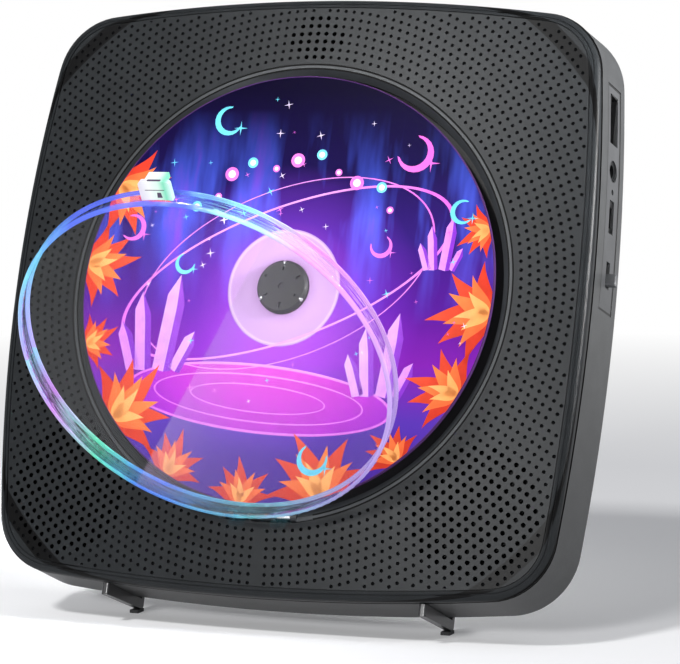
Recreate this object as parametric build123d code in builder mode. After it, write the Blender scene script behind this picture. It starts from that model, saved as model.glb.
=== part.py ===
from build123d import *
from math import cos, hypot, pi, radians, sin, sqrt
import os

# Wall mountable CD player leaning in its desk stand. Millimetres, +Z up, front towards -Y.
# The origin is the middle of the stand leg's rubber foot, on the desk.
# The player's own frame is FACE: u to the right, v up along the front, w out of the front,
# with its origin in the middle of the disc well, on the rim of the well.

os.makedirs("parts", exist_ok=True)

# ---- driving sizes: posture ----
lean_angle = 17.5             # how far the player leans back in its stand, degrees
lid_open_angle = 49.5         # the lid's open stop, degrees from closed

# ---- driving sizes: casing ----
body_width = 168.8            # across the middle of the front
body_height = 167.8
side_bulge = 5.0              # how far each side bows out between its corners
corner_radius = 18.0
cover_depth = 6.2             # well rim back to the front cover's rear edge
body_depth = 28.0             # well rim back to the flat back
rear_growth = 1.2             # how much wider each side is at the back than at the parting line
back_edge_radius = 3.0
front_edge_radius = 1.6
parting_gap = 0.9             # dark line between the front cover and the rear housing
dome_radius = 740.0           # crown of the front face
wall = 2.2                    # side and back walls
tongue_height = 1.6           # rear housing's tongue inside the front cover
tongue_wall = 1.0
front_wall = 2.0
boss_radius = 3.4

# ---- driving sizes: disc, well and lid ----
disc_radius = 60.0
disc_hole_radius = 7.5
disc_thickness = 1.2
disc_stand_off = 1.6          # underside of the disc in front of the well rim plane
well_rim_radius = 64.5        # dark line round the well
well_radius = 61.2            # inner wall of the well
well_depth = 4.0              # rim down to the well floor
tray_thickness = 2.0
ear_angles = (20, 160, 200, 340)   # fixing ears round the tray, degrees
ring_gap = 0.2                # between the rim ring and the cover's hole
ring_flange = 1.2             # how far the rim ring reaches under the cover
bevel_drop = 1.6
rim_band = 1.0                # flat band outside the small groove
rim_groove = 0.4
lid_radius = 50.8
lid_plate = 1.3
lid_skirt = 5.7               # plate's face back to the skirt's edge
lid_skirt_wall = 1.2
lid_edge_radius = 0.9
lid_arm = 58.5                # hinge axis to the middle of the lid
ear_low = 0.9                 # lid ear, hinge side
ear_high = 2.0                # lid ear, disc side
ear_drop = 3.6                # lid face to the underside of the ear
lid_disc_gap = 0.7            # skirt's edge to the disc when closed
hinge_v = -62.2               # lid hinge axis, below the disc
hinge_w = -1.6
hinge_pin_radius = 0.7
hinge_barrel_radius = 1.3
hinge_lug = 3.8               # half width of the middle lug
hinge_ear = 4.0               # width of each lid ear
outer_lug = 1.8               # width of each outer lug
hinge_side_gap = 0.2
tab_width = 8.4
tab_reach = 5.2
tab_thickness = 1.5
tab_lip_width = 5.4           # finger lip that turns back from the tab's end
tab_lip_thickness = 1.4
tab_drop = 4.6

# ---- driving sizes: fits ----
running_gap = 0.05            # radial clearance of shafts, pins and rods
part_gap = 0.3                # clearance between neighbours that move
seat_gap = 0.1                # clearance between neighbours that do not

# ---- driving sizes: hole pattern ----
hole_radius = 0.58
hole_pitch = 2.43             # along a row
row_pitch = 2.33              # from row to row
first_row = 1.95              # first row outside the well rim
row_count = 20
grille_radius = 17.4          # black hole fields in front of the speakers
grille_u = 59.0
grille_v = -58.0
plain_margin = 3.4            # bare strip along the outline
window_rows = (1, 2, 3, 3, 2, 1)   # through holes each side of the middle, above the well

# ---- driving sizes: drive ----
turntable_radius = 14.0
turntable_thickness = 2.0
pad_inner_radius = 9.0
pad_thickness = 0.6
pad_inset = 0.5
hub_play = 0.1                # hub to disc hole, radial
hub_rise = 1.6                # hub above the disc
hub_edge = 0.7
hub_slot_width = 0.7
hub_slot_length = 1.5
hub_slots = 6
claw_radius = 0.9
claws = 3
claw_lift = 0.72              # claw centres in front of the disc
shaft_end = 0.5               # shaft end in the hub, and the motor can's floor
can_edge = 0.8                # chamfer of the motor can
shaft_radius = 1.0
spindle_boss_radius = 4.0
tray_hole_radius = 17.0
motor_radius = 9.5
motor_height = 6.2
chassis_thickness = 1.5
chassis_drop = 5.8            # well rim to chassis is well_depth + tray_thickness + this, less the plate
chassis_left = 76.0
chassis_right = 27.0
chassis_half_height = 32.0
chassis_corner = 6.0
post_inner_u = 20.0
post_outer_u = 57.0
post_v = 26.0
post_radius = 2.0
grommet_radius = 4.6
grommet_height = 4.6
grommet_groove = 1.2
lens_base = -1.2              # lens carrier's front behind the well rim plane
nut_length = 6.0
lens_rest = 24.0              # lens to spindle axis with the sled fully in
sled_travel = 33.0
lens_radius = 2.2
lens_seat = 1.0
lens_rise = 0.7
lens_step = 0.6
turret_radius = 3.4
turret_base_radius = 4.8
sled_length = 23.8
sled_half_height = 19.0
sled_thickness = 4.6
sled_corner = 1.6
nut_below = 2.4               # half nut below the lead screw's axis
rod_radius = 1.5
rod_edge = 0.2                # chamfer on the ends of rods and pins
rod_v = 15.5
rod_drop = 2.6                # chassis underside to rod axis
bracket_thickness = 2.4
screw_radius = 1.5            # lead screw
screw_v = 9.0
screw_overhang = 1.0          # lead screw inside its motor
screw_drop = 8.4              # chassis underside to lead screw axis
sled_motor_radius = 4.6
sled_motor_length = 4.6

# ---- driving sizes: speakers ----
speaker_radius = 17.0
speaker_flange = 2.0
speaker_front = 6.3           # speaker's front face behind the well rim plane
cone_radius = 13.4
cone_depth = 5.6
cone_thickness = 0.6
dust_cap_radius = 5.0
magnet_radius = 9.0
magnet_height = 5.0
basket_depth = 8.0
basket_back_radius = 10.0
basket_wall = 1.6
magnet_edge = 0.5
speaker_ear_reach = 19.6
speaker_ear_radius = 3.0

# ---- driving sizes: connectors on the right side ----
port_w = -17.0                # line of the connectors
panel_recess = 0.5
panel_v_low = 0.0
panel_v_high = 63.0
panel_half_depth = 5.2
usb_v = 53.5
usb_width = 13.6
usb_height = 5.8
usb_length = 14.0
usb_tongue_back = 1.6
usb_tongue_rise = 1.0
usb_tongue_width = 11.4
usb_tongue_thickness = 1.8
jack_v = 39.2
jack_bore_radius = 1.8
jack_collar_radius = 2.9
jack_length = 12.0
jack_collar = 2.6             # how far the jack's round collar stands off its block
lamp_v = 33.4
lamp_radius = 0.8
charge_v = 26.4
charge_width = 9.0
charge_height = 3.3
charge_length = 7.4
switch_v = 10.5
switch_slot_length = 7.0
switch_slot_width = 2.8
switch_knob_length = 3.2
switch_travel = 3.2
switch_block = 4.4
knob_stick_out = 3.2
shell_wall = 0.35
board_thickness = 1.6
board_left = 30.0
board_top = 61.0
board_bottom = 1.0
board_post_radius = 2.6
post_inset = 4.0              # board fixings from the board's left edge, top and bottom
lone_post_u = 72.0
lone_post_v = 12.0

# ---- driving sizes: keys on the top ----
key_count = 5
key_pitch = 14.0
key_length = 9.6
key_depth = 5.4
key_rise = 0.7
key_travel = 1.0
key_flange = 1.0
key_gap = 0.25
key_stem_radius = 1.2
key_stem_length = 1.0
key_corner_radius = 1.2
key_edge_radius = 0.4
key_board_reach = 4.0
key_board_thickness = 1.2
rib_clear = 6.0               # end keys to the ribs that carry the key board
rib_height = 4.0
rib_thickness = 2.4
tact_height = 1.5

# ---- driving sizes: battery ----
battery_width = 44.0
battery_height = 34.0
battery_thickness = 6.6
battery_corner = 2.0
battery_inset = 38.4          # casing's side to the middle of the battery
battery_v = -19.0
processor_u = 44.0            # largest chip on the board
processor_v = 41.0
processor_size = 10.0
processor_height = 1.2
amplifier_v = 23.0            # chip that drives the speakers, in line with the processor
amplifier_size = 6.0
coil_count = 3                # coils in a column beside the chips
coil_size = 4.0
coil_height = 2.4
coil_pitch = 6.0
coil_u = 57.0

# ---- driving sizes: remote receiver ----
window_inset = 11.1           # casing's top to the middle of the receiver's window
window_width = 20.0
window_height = 13.0
window_back = 4.4
receiver_height = 2.8
receiver_radius = 2.4
receiver_width = 5.6
ir_board_thickness = 1.0

# ---- driving sizes: fixings ----
keyhole_u = 40.0
keyhole_v = 38.0
keyhole_radius = 4.2
keyhole_slot_radius = 2.1
keyhole_rise = 7.0
boss_inset_u = 19.4           # casing's side to the corner bosses
boss_inset_v = 18.9
lower_boss_u = 33.0
lower_boss_inset = 9.9
housing_screw_radius = 1.3
housing_screw_length = 12.0
head_sink = 0.2               # housing screw heads below the back
small_screw_radius = 0.9
pilot_depth = 2.0             # blind hole for a small screw
screw_bite = 1.6              # how far a small screw goes into its boss
deck_screw_length = 4.0
board_screw_length = 4.6
screw_head_height = 1.3
vent_count = 7
vent_length = 22.0
vent_width = 1.8
vent_pitch = 4.2
vent_v = -52.0

# ---- driving sizes: desk stand ----
arm_u = 46.2
arm_thickness = 2.2
arm_taper = 0.8               # how much shallower each arm is at its front end
arm_front_radius = 0.7
arm_below = 1.3               # arm's lower edge below the casing's rear lower edge
arm_front = -6.0              # front end of each arm, just behind the cover's edge
arm_corner_radius = 1.2
lug_thickness = 3.4
leg_foot_width = 30.0
upright_depth = 1.6
upright_top = -6.0
stand_gap = 0.2
stand_panel_thickness = 1.6
stand_panel_bottom = -62.0
stand_panel_top = -5.0
leg_width = 46.0
leg_thickness = 3.0
leg_splay = 23.03813          # leg from upright, seen from the side, degrees
leg_cut_end = 15.3            # hinge, and foot, to the cut-out in the leg
foot_corner = 1.0
leg_pin_radius = 1.5
leg_barrel_radius = 3.0
leg_hinge_v = -8.0
boot_length = 4.0
boot_height = 0.4
boot_wall = 0.2
boot_sole = 0.5
foot_pad_length = 7.0
foot_pad_height = 2.5

# ---- places worked out from the sizes above ----
MIN_END = (Align.CENTER, Align.CENTER, Align.MIN)
MAX_END = (Align.CENTER, Align.CENTER, Align.MAX)
X_TURN = (0, 90, 0)
V_TURN = (-90, 0, 0)
POLE_TURN = (90, 0, 0)        # keeps the dome's pole off the front face
lean = radians(lean_angle)
housing_boss_u = body_width / 2 - boss_inset_u
housing_boss_v = body_height / 2 - boss_inset_v
lower_boss_v = lower_boss_inset - body_height / 2
window_v = body_height / 2 - window_inset
battery_u = body_width / 2 - battery_inset
rear_half_height = body_height / 2 + rear_growth
arm_low = -(rear_half_height + arm_below)
arm_back = -(body_depth + stand_gap + upright_depth)
leg_hinge_w = -(body_depth + stand_gap + stand_panel_thickness + part_gap + leg_barrel_radius)


def height_of(v, w):
    """World height of a face point above the middle of the well."""
    return v * cos(lean) + w * sin(lean)


def depth_of(v, w):
    """World distance of a face point behind the middle of the well."""
    return v * sin(lean) - w * cos(lean)


desk_drop = -height_of(arm_low, arm_back) + boot_sole
leg_drop = desk_drop + height_of(leg_hinge_v, leg_hinge_w) - foot_pad_height
leg_angle = radians(leg_splay)
leg_length = leg_drop / cos(leg_angle)
leg_run = depth_of(leg_hinge_v, leg_hinge_w) + leg_length * sin(leg_angle)
FACE = Plane(origin=(0, -leg_run, desk_drop), x_dir=(1, 0, 0), z_dir=(0, -cos(lean), sin(lean)))
OUT = Axis((0, 0, 0), (0, -cos(lean), sin(lean)))
RISE = Axis((0, 0, 0), (0, sin(lean), cos(lean)))

dome_base = -sqrt(dome_radius**2 - (well_rim_radius + ring_flange)**2)
parting_w = -(cover_depth + parting_gap)
cavity_back = -(body_depth - wall)
disc_back = disc_stand_off
disc_front = disc_back + disc_thickness
hub_top = disc_front + hub_rise
table_top = disc_back - pad_thickness
tray_back = -(well_depth + tray_thickness)
tray_radius = well_rim_radius + ring_flange - seat_gap
chassis_back = tray_back - chassis_drop
lid_face_w = disc_front + lid_disc_gap + lid_skirt
board_front = port_w - usb_height / 2 - seat_gap


def spot(u, v, w):
    """A place in the player's frame."""
    return FACE.location * Location((u, v, w))


def growth_at(w):
    """How much wider than the parting line the casing is on each side at depth w."""
    return rear_growth * (parting_w - w) / (body_depth + parting_w)


def half_width_at(v, w):
    """Half width of the casing's side at height v and depth w."""
    grown = body_width / 2 + growth_at(w)
    return grown - side_bulge * (v / (body_height / 2 - side_bulge))**2


def half_height_at(u, w):
    """Half height of the casing at place u and depth w."""
    grown = body_height / 2 + growth_at(w)
    return grown - side_bulge * (u / (body_width / 2 - side_bulge))**2


def casing_outline(w, inset=0.0):
    """Rounded square with bowed sides at depth w, pulled in by inset."""
    half_u = body_width / 2 - inset
    half_v = body_height / 2 - inset
    corner_u = half_u - side_bulge
    corner_v = half_v - side_bulge
    with BuildSketch(FACE.offset(w)) as outline:
        with BuildLine():
            ThreePointArc((corner_u, -corner_v), (half_u, 0), (corner_u, corner_v))
            ThreePointArc((corner_u, corner_v), (0, half_v), (-corner_u, corner_v))
            ThreePointArc((-corner_u, corner_v), (-half_u, 0), (-corner_u, -corner_v))
            ThreePointArc((-corner_u, -corner_v), (0, -half_v), (corner_u, -corner_v))
        make_face()
        fillet(outline.vertices(), corner_radius - inset)
    return outline.sketch


def save(part, name):
    """Label one finished piece and write it."""
    part.label = name
    export_step(part, f"parts/{name}.step")


def pattern_rows():
    """Every place of the hole pattern: row, step from the middle, u and v."""
    for row in range(row_count):
        radius = well_rim_radius + first_row + row * row_pitch
        steps = int(pi * radius / hole_pitch)
        for step in range(-steps, steps + 1):
            turn = step * hole_pitch / radius
            yield row, step, radius * sin(turn), radius * cos(turn)


def inside_plain_margin(u, v):
    """True where a hole stays clear of the bare strip along the outline."""
    half_u = body_width / 2 - plain_margin
    half_v = body_height / 2 - plain_margin
    reach_u = half_u - side_bulge * (v / half_v)**2
    reach_v = half_v - side_bulge * (u / half_u)**2
    corner = corner_radius - plain_margin
    over_u = abs(u) - (reach_u - corner)
    over_v = abs(v) - (reach_v - corner)
    if over_u > 0 and over_v > 0:
        return hypot(over_u, over_v) < corner
    return abs(u) < reach_u and abs(v) < reach_v


def through_holes():
    """Places of the holes that go right through the front."""
    for row, step, u, v in pattern_rows():
        if not inside_plain_margin(u, v):
            continue
        over_window = row < len(window_rows) and abs(step) <= window_rows[row]
        over_speaker = hypot(abs(u) - grille_u, v - grille_v) < grille_radius
        if over_window or over_speaker:
            yield (u, v)


# ---- front cover ----
with BuildPart() as cover_core:
    extrude(casing_outline(-cover_depth - wall, wall), amount=2 * cover_depth)
    with Locations(spot(0, 0, dome_base)):
        Sphere(dome_radius - front_wall, rotation=POLE_TURN, mode=Mode.INTERSECT)

housing_bosses = [(housing_boss_u, housing_boss_v), (-housing_boss_u, housing_boss_v),
                  (lower_boss_u, lower_boss_v), (-lower_boss_u, lower_boss_v)]
boss_back = cavity_back + boss_radius / 2
tray_ears = [(tray_radius + boss_radius + 1, angle) for angle in ear_angles]
ear_places = [(reach * cos(radians(angle)), reach * sin(radians(angle))) for reach, angle in tray_ears]
speaker_ears = [(side * grille_u, grille_v + speaker_ear_reach) for side in (-1, 1)]
speaker_ears += [(side * (grille_u - speaker_ear_reach), grille_v) for side in (-1, 1)]

with BuildPart() as inner_bosses:
    with Locations([spot(u, v, boss_back) for u, v in housing_bosses]):
        Cylinder(boss_radius, -boss_back, align=MIN_END)
    with Locations([spot(u, v, -well_depth) for u, v in ear_places]):
        Cylinder(boss_radius, well_depth, align=MIN_END)
    with Locations([spot(u, v, -speaker_front) for u, v in speaker_ears]):
        Cylinder(speaker_ear_radius, speaker_front, align=MIN_END)
    with Locations(spot(0, 0, dome_base)):
        Sphere(dome_radius - front_wall / 2, rotation=POLE_TURN, mode=Mode.INTERSECT)

with BuildPart() as front_cover:
    extrude(casing_outline(-cover_depth), amount=2 * cover_depth)
    with Locations(spot(0, 0, dome_base)):
        Sphere(dome_radius, rotation=POLE_TURN, mode=Mode.INTERSECT)
    rim = front_cover.edges().filter_by(lambda edge: edge.length < 3 * body_width)
    rim = rim.sort_by(OUT)[-8:]
    fillet(rim, front_edge_radius)
    add(cover_core.part, mode=Mode.SUBTRACT)
    with Locations(spot(0, 0, 0)):
        Cylinder(well_rim_radius, 4 * cover_depth, mode=Mode.SUBTRACT)
    add(inner_bosses.part)
    with Locations([spot(u, v, boss_back) for u, v in housing_bosses]):
        Cylinder(housing_screw_radius, -boss_back - front_wall - wall, mode=Mode.SUBTRACT,
                 align=MIN_END)
    with Locations([spot(u, v, -well_depth) for u, v in ear_places]):
        Cylinder(small_screw_radius, pilot_depth, mode=Mode.SUBTRACT, align=MIN_END)
    with Locations([spot(u, v, -speaker_front) for u, v in speaker_ears]):
        Cylinder(small_screw_radius, pilot_depth, mode=Mode.SUBTRACT, align=MIN_END)
    with BuildSketch(FACE.offset(-2 * cover_depth)):
        with Locations(list(through_holes())):
            Circle(hole_radius)
    extrude(amount=4 * cover_depth, mode=Mode.SUBTRACT)
save(front_cover.part, "front_cover")

# ---- rear housing ----
def casing_slab(front_w, back_w, inset):
    """Solid of the housing's drafted outline between two depths, pulled in by inset."""
    with BuildPart() as slab:
        loft([casing_outline(front_w, inset - growth_at(front_w)),
              casing_outline(back_w, inset - growth_at(back_w))])
    return slab.part


key_places = [(step - (key_count - 1) / 2) * key_pitch for step in range(key_count)]
side_u = half_width_at(usb_v, port_w)
board_posts = [(board_left + post_inset, board_bottom + post_inset),
               (board_left + post_inset, board_top - post_inset),
               (lone_post_u, lone_post_v)]
board_back = board_front - board_thickness
key_wall_low = half_height_at(key_places[0], port_w) - wall
key_tact_top = key_wall_low - 2 * key_gap - key_flange - key_stem_length - key_travel - running_gap
key_board_top = key_tact_top - tact_height
rib_u = key_places[-1] + rib_clear

with BuildPart() as side_recess:
    add(casing_slab(parting_w, -body_depth, -1))
    add(casing_slab(parting_w, -body_depth, panel_recess), mode=Mode.SUBTRACT)
    with Locations(spot(body_width / 2, (panel_v_low + panel_v_high) / 2, port_w)):
        Box(4 * side_bulge, panel_v_high - panel_v_low, 2 * panel_half_depth, mode=Mode.INTERSECT)

# closes the parting line from inside, under the cover's dome
with BuildPart() as tongue:
    extrude(casing_outline(parting_w, wall + seat_gap), amount=parting_gap + tongue_height)
    with Locations(spot(0, 0, dome_base)):
        Sphere(dome_radius - front_wall - seat_gap, mode=Mode.INTERSECT)
    extrude(casing_outline(parting_w - tongue_height, wall - tongue_wall), amount=tongue_height)
    inner_outline = casing_outline(parting_w - 2 * tongue_height, wall + seat_gap + tongue_wall)
    extrude(inner_outline, amount=5 * tongue_height, mode=Mode.SUBTRACT)

with BuildPart() as rear_housing:
    add(casing_slab(parting_w, -body_depth, 0))
    back_rim = rear_housing.faces().sort_by(OUT)[0].edges()
    fillet(back_rim, back_edge_radius)
    add(casing_slab(parting_w, cavity_back, wall), mode=Mode.SUBTRACT)
    add(side_recess.part, mode=Mode.SUBTRACT)
    add(tongue.part)
    # pads under the cover's bosses, posts for the main board and ribs for the key board
    with Locations([spot(u, v, cavity_back) for u, v in housing_bosses]):
        Cylinder(boss_radius, boss_back - cavity_back, align=MIN_END)
    with Locations([spot(u, v, cavity_back) for u, v in board_posts]):
        Cylinder(board_post_radius, board_back - cavity_back, align=MIN_END)
    rib_v = key_board_top - key_board_thickness - rib_height / 2
    with Locations([spot(side * rib_u, rib_v, cavity_back) for side in (-1, 1)]):
        Box(rib_thickness, rib_height, port_w + key_board_reach - cavity_back, align=MIN_END)
    with Locations([spot(u, v, -body_depth) for u, v in housing_bosses]):
        Cylinder(housing_screw_radius + seat_gap, 2 * wall + boss_radius, align=MIN_END, mode=Mode.SUBTRACT)
    with Locations([spot(u, v, -body_depth) for u, v in housing_bosses]):
        Cylinder(2 * housing_screw_radius + seat_gap, screw_head_height, align=MIN_END, mode=Mode.SUBTRACT)
    with Locations([spot(u, v, board_back) for u, v in board_posts]):
        Cylinder(small_screw_radius, pilot_depth + screw_bite, align=MAX_END, mode=Mode.SUBTRACT)
    # keyholes for two wall screws
    for side in (-1, 1):
        with BuildSketch(FACE.offset(-body_depth - 1)):
            with Locations((side * keyhole_u, keyhole_v)):
                Circle(keyhole_radius)
            with Locations((side * keyhole_u, keyhole_v + keyhole_rise / 2)):
                SlotOverall(keyhole_rise + 2 * keyhole_slot_radius, 2 * keyhole_slot_radius, rotation=90)
        extrude(amount=wall + 2, mode=Mode.SUBTRACT)
    # vents high on the back
    with BuildSketch(FACE.offset(-body_depth - 1)):
        with Locations((0, -vent_v)):
            with GridLocations(0, vent_pitch, 1, vent_count):
                SlotOverall(vent_length, vent_width)
    extrude(amount=wall + 2, mode=Mode.SUBTRACT)
    # connector openings in the right side
    with Locations(spot(side_u, usb_v, port_w)):
        Box(4 * wall, usb_width + 2 * seat_gap, usb_height + 2 * seat_gap, mode=Mode.SUBTRACT)
    with Locations(spot(side_u, charge_v, port_w)):
        Box(4 * wall, charge_width + 2 * seat_gap, charge_height + 2 * seat_gap, mode=Mode.SUBTRACT)
    with Locations(spot(side_u, switch_v, port_w)):
        Box(4 * wall, switch_slot_length, switch_slot_width, mode=Mode.SUBTRACT)
    with Locations(spot(side_u, jack_v, port_w)):
        Cylinder(jack_collar_radius + seat_gap, 4 * wall, rotation=X_TURN, mode=Mode.SUBTRACT)
    with Locations(spot(side_u, lamp_v, port_w)):
        Cylinder(lamp_radius, 4 * wall, rotation=X_TURN, mode=Mode.SUBTRACT)
    # key openings in the top
    with Locations([spot(u, half_height_at(u, port_w), port_w) for u in key_places]):
        Box(key_length + 2 * key_gap, 4 * wall, key_depth + 2 * key_gap, mode=Mode.SUBTRACT)
save(rear_housing.part, "rear_housing")

with BuildPart() as housing_screws:
    with Locations([spot(u, v, -body_depth + head_sink) for u, v in housing_bosses]):
        Cylinder(2 * housing_screw_radius, screw_head_height - head_sink, align=MIN_END)
    with Locations([spot(u, v, -body_depth + screw_head_height) for u, v in housing_bosses]):
        Cylinder(housing_screw_radius, housing_screw_length, align=MIN_END)
save(housing_screws.part, "housing_screws")

# ---- well: rim ring, floor ----
PROFILE = Plane(origin=FACE.origin, x_dir=(1, 0, 0), z_dir=(0, -sin(lean), -cos(lean)))
SPIN = Axis(FACE.origin, (0, -cos(lean), sin(lean)))


def side_plane(u):
    """Plane across the player at u, with its own x along v and its own y along w."""
    return Plane(origin=spot(u, 0, 0).position, x_dir=(0, sin(lean), cos(lean)), z_dir=(1, 0, 0))


hinge_ear_end = hinge_lug + hinge_side_gap + hinge_ear
hinge_span = hinge_ear_end + hinge_side_gap + outer_lug
ring_outer = well_rim_radius - ring_gap
ring_flange_front = -front_wall - ring_gap
bevel_start = ring_outer - rim_band - rim_groove
hinge_lugs = [(-hinge_span, -hinge_ear_end - hinge_side_gap), (-hinge_lug, hinge_lug),
              (hinge_ear_end + hinge_side_gap, hinge_span)]

with BuildPart() as well_ring:
    with BuildSketch(PROFILE):
        with BuildLine():
            Polyline((well_radius, -well_depth),
                     (ring_outer + ring_gap + ring_flange - seat_gap, -well_depth),
                     (ring_outer + ring_gap + ring_flange - seat_gap, ring_flange_front),
                     (ring_outer, ring_flange_front), (ring_outer, 0), (ring_outer - rim_band, 0),
                     (ring_outer - rim_band, -rim_groove), (bevel_start, -rim_groove),
                     (bevel_start, -seat_gap), (well_radius, -bevel_drop), close=True)
        make_face()
    revolve(axis=SPIN)
    with Locations(spot(0, (hinge_v + hinge_barrel_radius + part_gap - ring_outer - ring_gap) / 2, hinge_w)):
        Box(2 * hinge_span + 2 * part_gap, ring_outer + ring_gap + hinge_v + hinge_barrel_radius + part_gap,
            2 * (hinge_barrel_radius + part_gap), mode=Mode.SUBTRACT)
    for low, high in hinge_lugs:
        with BuildSketch(side_plane(low)):
            with Locations((hinge_v, hinge_w)):
                Circle(hinge_barrel_radius)
            with Locations((hinge_v, (hinge_w - well_depth) / 2)):
                Rectangle(2 * hinge_barrel_radius, hinge_w + well_depth)
        extrude(amount=high - low)
    with Locations(spot(0, hinge_v, hinge_w)):
        Cylinder(hinge_pin_radius, 2 * hinge_span, rotation=X_TURN, mode=Mode.SUBTRACT)
save(well_ring.part, "well_ring")

with BuildPart() as lid_pin:
    with Locations(spot(0, hinge_v, hinge_w)):
        Cylinder(hinge_pin_radius, 2 * hinge_span, rotation=X_TURN)
save(lid_pin.part, "lid_pin")

post_places = [(u, side * post_v) for u in (-post_outer_u, post_inner_u) for side in (-1, 1)]
post_length = chassis_drop + (grommet_height - chassis_thickness) / 2
tray_slot_low = lens_rest - turret_radius - 1
tray_slot_high = lens_rest + sled_travel + turret_radius + 1

with BuildPart() as well_tray:
    with BuildSketch(FACE.offset(tray_back)):
        Circle(tray_radius)
        with Locations(ear_places):
            Circle(boss_radius)
        for reach, angle in tray_ears:
            with Locations(Location(((reach - boss_radius) * cos(radians(angle)),
                                     (reach - boss_radius) * sin(radians(angle))), angle)):
                Rectangle(2 * boss_radius, 2 * boss_radius)
        Circle(tray_hole_radius, mode=Mode.SUBTRACT)
        with Locations((-(tray_slot_low + tray_slot_high) / 2, 0)):
            SlotOverall(tray_slot_high - tray_slot_low, 2 * (turret_radius + 1), mode=Mode.SUBTRACT)
        with Locations(ear_places):
            Circle(small_screw_radius + seat_gap, mode=Mode.SUBTRACT)
    extrude(amount=tray_thickness)
    with Locations([spot(u, v, tray_back) for u, v in post_places]):
        Cylinder(post_radius, post_length, align=MAX_END)
    with Locations([spot(u, v, tray_back - post_length) for u, v in post_places]):
        Cylinder(small_screw_radius, deck_screw_length + 1, align=MIN_END, mode=Mode.SUBTRACT)
save(well_tray.part, "well_tray")

with BuildPart() as tray_screws:
    with Locations([spot(u, v, tray_back) for u, v in ear_places]):
        Cylinder(2 * small_screw_radius, screw_head_height, align=MAX_END)
        Cylinder(small_screw_radius, tray_thickness + screw_bite, align=MIN_END)
save(tray_screws.part, "tray_screws")

# ---- dust cover ----
lid_tilt = radians(lean_angle - lid_open_angle)
LID = Plane(origin=spot(0, hinge_v, hinge_w).position, x_dir=(1, 0, 0),
            z_dir=(0, -cos(lid_tilt), sin(lid_tilt)))
LID_SIDE = Plane(origin=LID.origin, x_dir=(0, sin(lid_tilt), cos(lid_tilt)), z_dir=(1, 0, 0))
lid_face_c = lid_face_w - hinge_w
ear_root = lid_arm - lid_radius + lid_skirt_wall / 2


def lid_spot(a, b, c):
    """A place in the lid's own frame: a across, b from the hinge over the disc, c outwards."""
    return LID.location * Location((a, b, c))


with BuildPart() as lid_rim:
    with BuildSketch(LID.offset(lid_face_c - lid_skirt)):
        with Locations((0, lid_arm)):
            Circle(lid_radius)
    extrude(amount=lid_skirt)
    fillet(lid_rim.faces().sort_by(Axis((0, 0, 0), LID.z_dir))[-1].edges(), lid_edge_radius)
    with Locations(lid_spot(0, lid_arm, lid_face_c)):
        Cylinder(lid_radius - lid_skirt_wall, 3 * lid_skirt, mode=Mode.SUBTRACT)
    for side in (-1, 1):
        start = hinge_lug + hinge_side_gap if side > 0 else -hinge_ear_end
        with BuildSketch(LID_SIDE.offset(start)):
            Circle(hinge_barrel_radius)
            with BuildLine():
                Polyline((0, -ear_low), (ear_high, 0), (ear_high, lid_face_c - ear_drop),
                         (ear_root, lid_face_c - ear_drop), (ear_root, lid_face_c - lid_plate),
                         (ear_high, lid_face_c - lid_plate), (ear_low, lid_face_c - 2 * lid_plate),
                         (ear_low, hinge_barrel_radius), close=True)
            make_face()
            Circle(hinge_pin_radius + running_gap, mode=Mode.SUBTRACT)
        extrude(amount=hinge_ear)
save(lid_rim.part, "lid_rim")

with BuildPart() as lid_window:
    with Locations(lid_spot(0, lid_arm, lid_face_c)):
        Cylinder(lid_radius - lid_skirt_wall, lid_plate, align=MAX_END)
save(lid_window.part, "lid_window")

tab_end = lid_arm + lid_radius + tab_reach
with BuildPart() as lid_tab:
    with Locations(lid_spot(0, tab_end - tab_reach / 2 - lid_skirt_wall, lid_face_c - lid_edge_radius)):
        Box(tab_width, tab_reach + 2 * lid_skirt_wall, tab_thickness, align=MAX_END)
    fillet(lid_tab.edges().filter_by(Axis((0, 0, 0), LID.z_dir)), lid_edge_radius)
    with Locations(lid_spot(0, tab_end - tab_lip_thickness / 2, lid_face_c - lid_edge_radius)):
        Box(tab_lip_width, tab_lip_thickness, tab_drop, align=MAX_END)
    with Locations(lid_spot(0, lid_arm, lid_face_c)):
        Cylinder(lid_radius, 3 * lid_skirt, mode=Mode.SUBTRACT)
save(lid_tab.part, "lid_tab")

# ---- disc, turntable and spindle motor ----
with BuildPart() as compact_disc:
    with BuildSketch(FACE.offset(disc_back)):
        Circle(disc_radius)
        Circle(disc_hole_radius, mode=Mode.SUBTRACT)
    extrude(amount=disc_thickness)
save(compact_disc.part, "compact_disc")

hub_radius = disc_hole_radius - hub_play
motor_back = chassis_back - motor_height
with BuildPart() as turntable:
    with Locations(spot(0, 0, table_top)):
        Cylinder(turntable_radius, turntable_thickness, align=MAX_END)
    with Locations(spot(0, 0, table_top - turntable_thickness)):
        Cylinder(spindle_boss_radius, well_depth + tray_thickness, align=MAX_END)
    with Locations(spot(0, 0, table_top)):
        Cylinder(shaft_radius, 2 * well_depth + tray_thickness, align=MAX_END, mode=Mode.SUBTRACT)
save(turntable.part, "turntable")

with BuildPart() as turntable_pad:
    with BuildSketch(FACE.offset(table_top)):
        Circle(turntable_radius - pad_inset)
        Circle(pad_inner_radius, mode=Mode.SUBTRACT)
    extrude(amount=pad_thickness)
save(turntable_pad.part, "turntable_pad")

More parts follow.
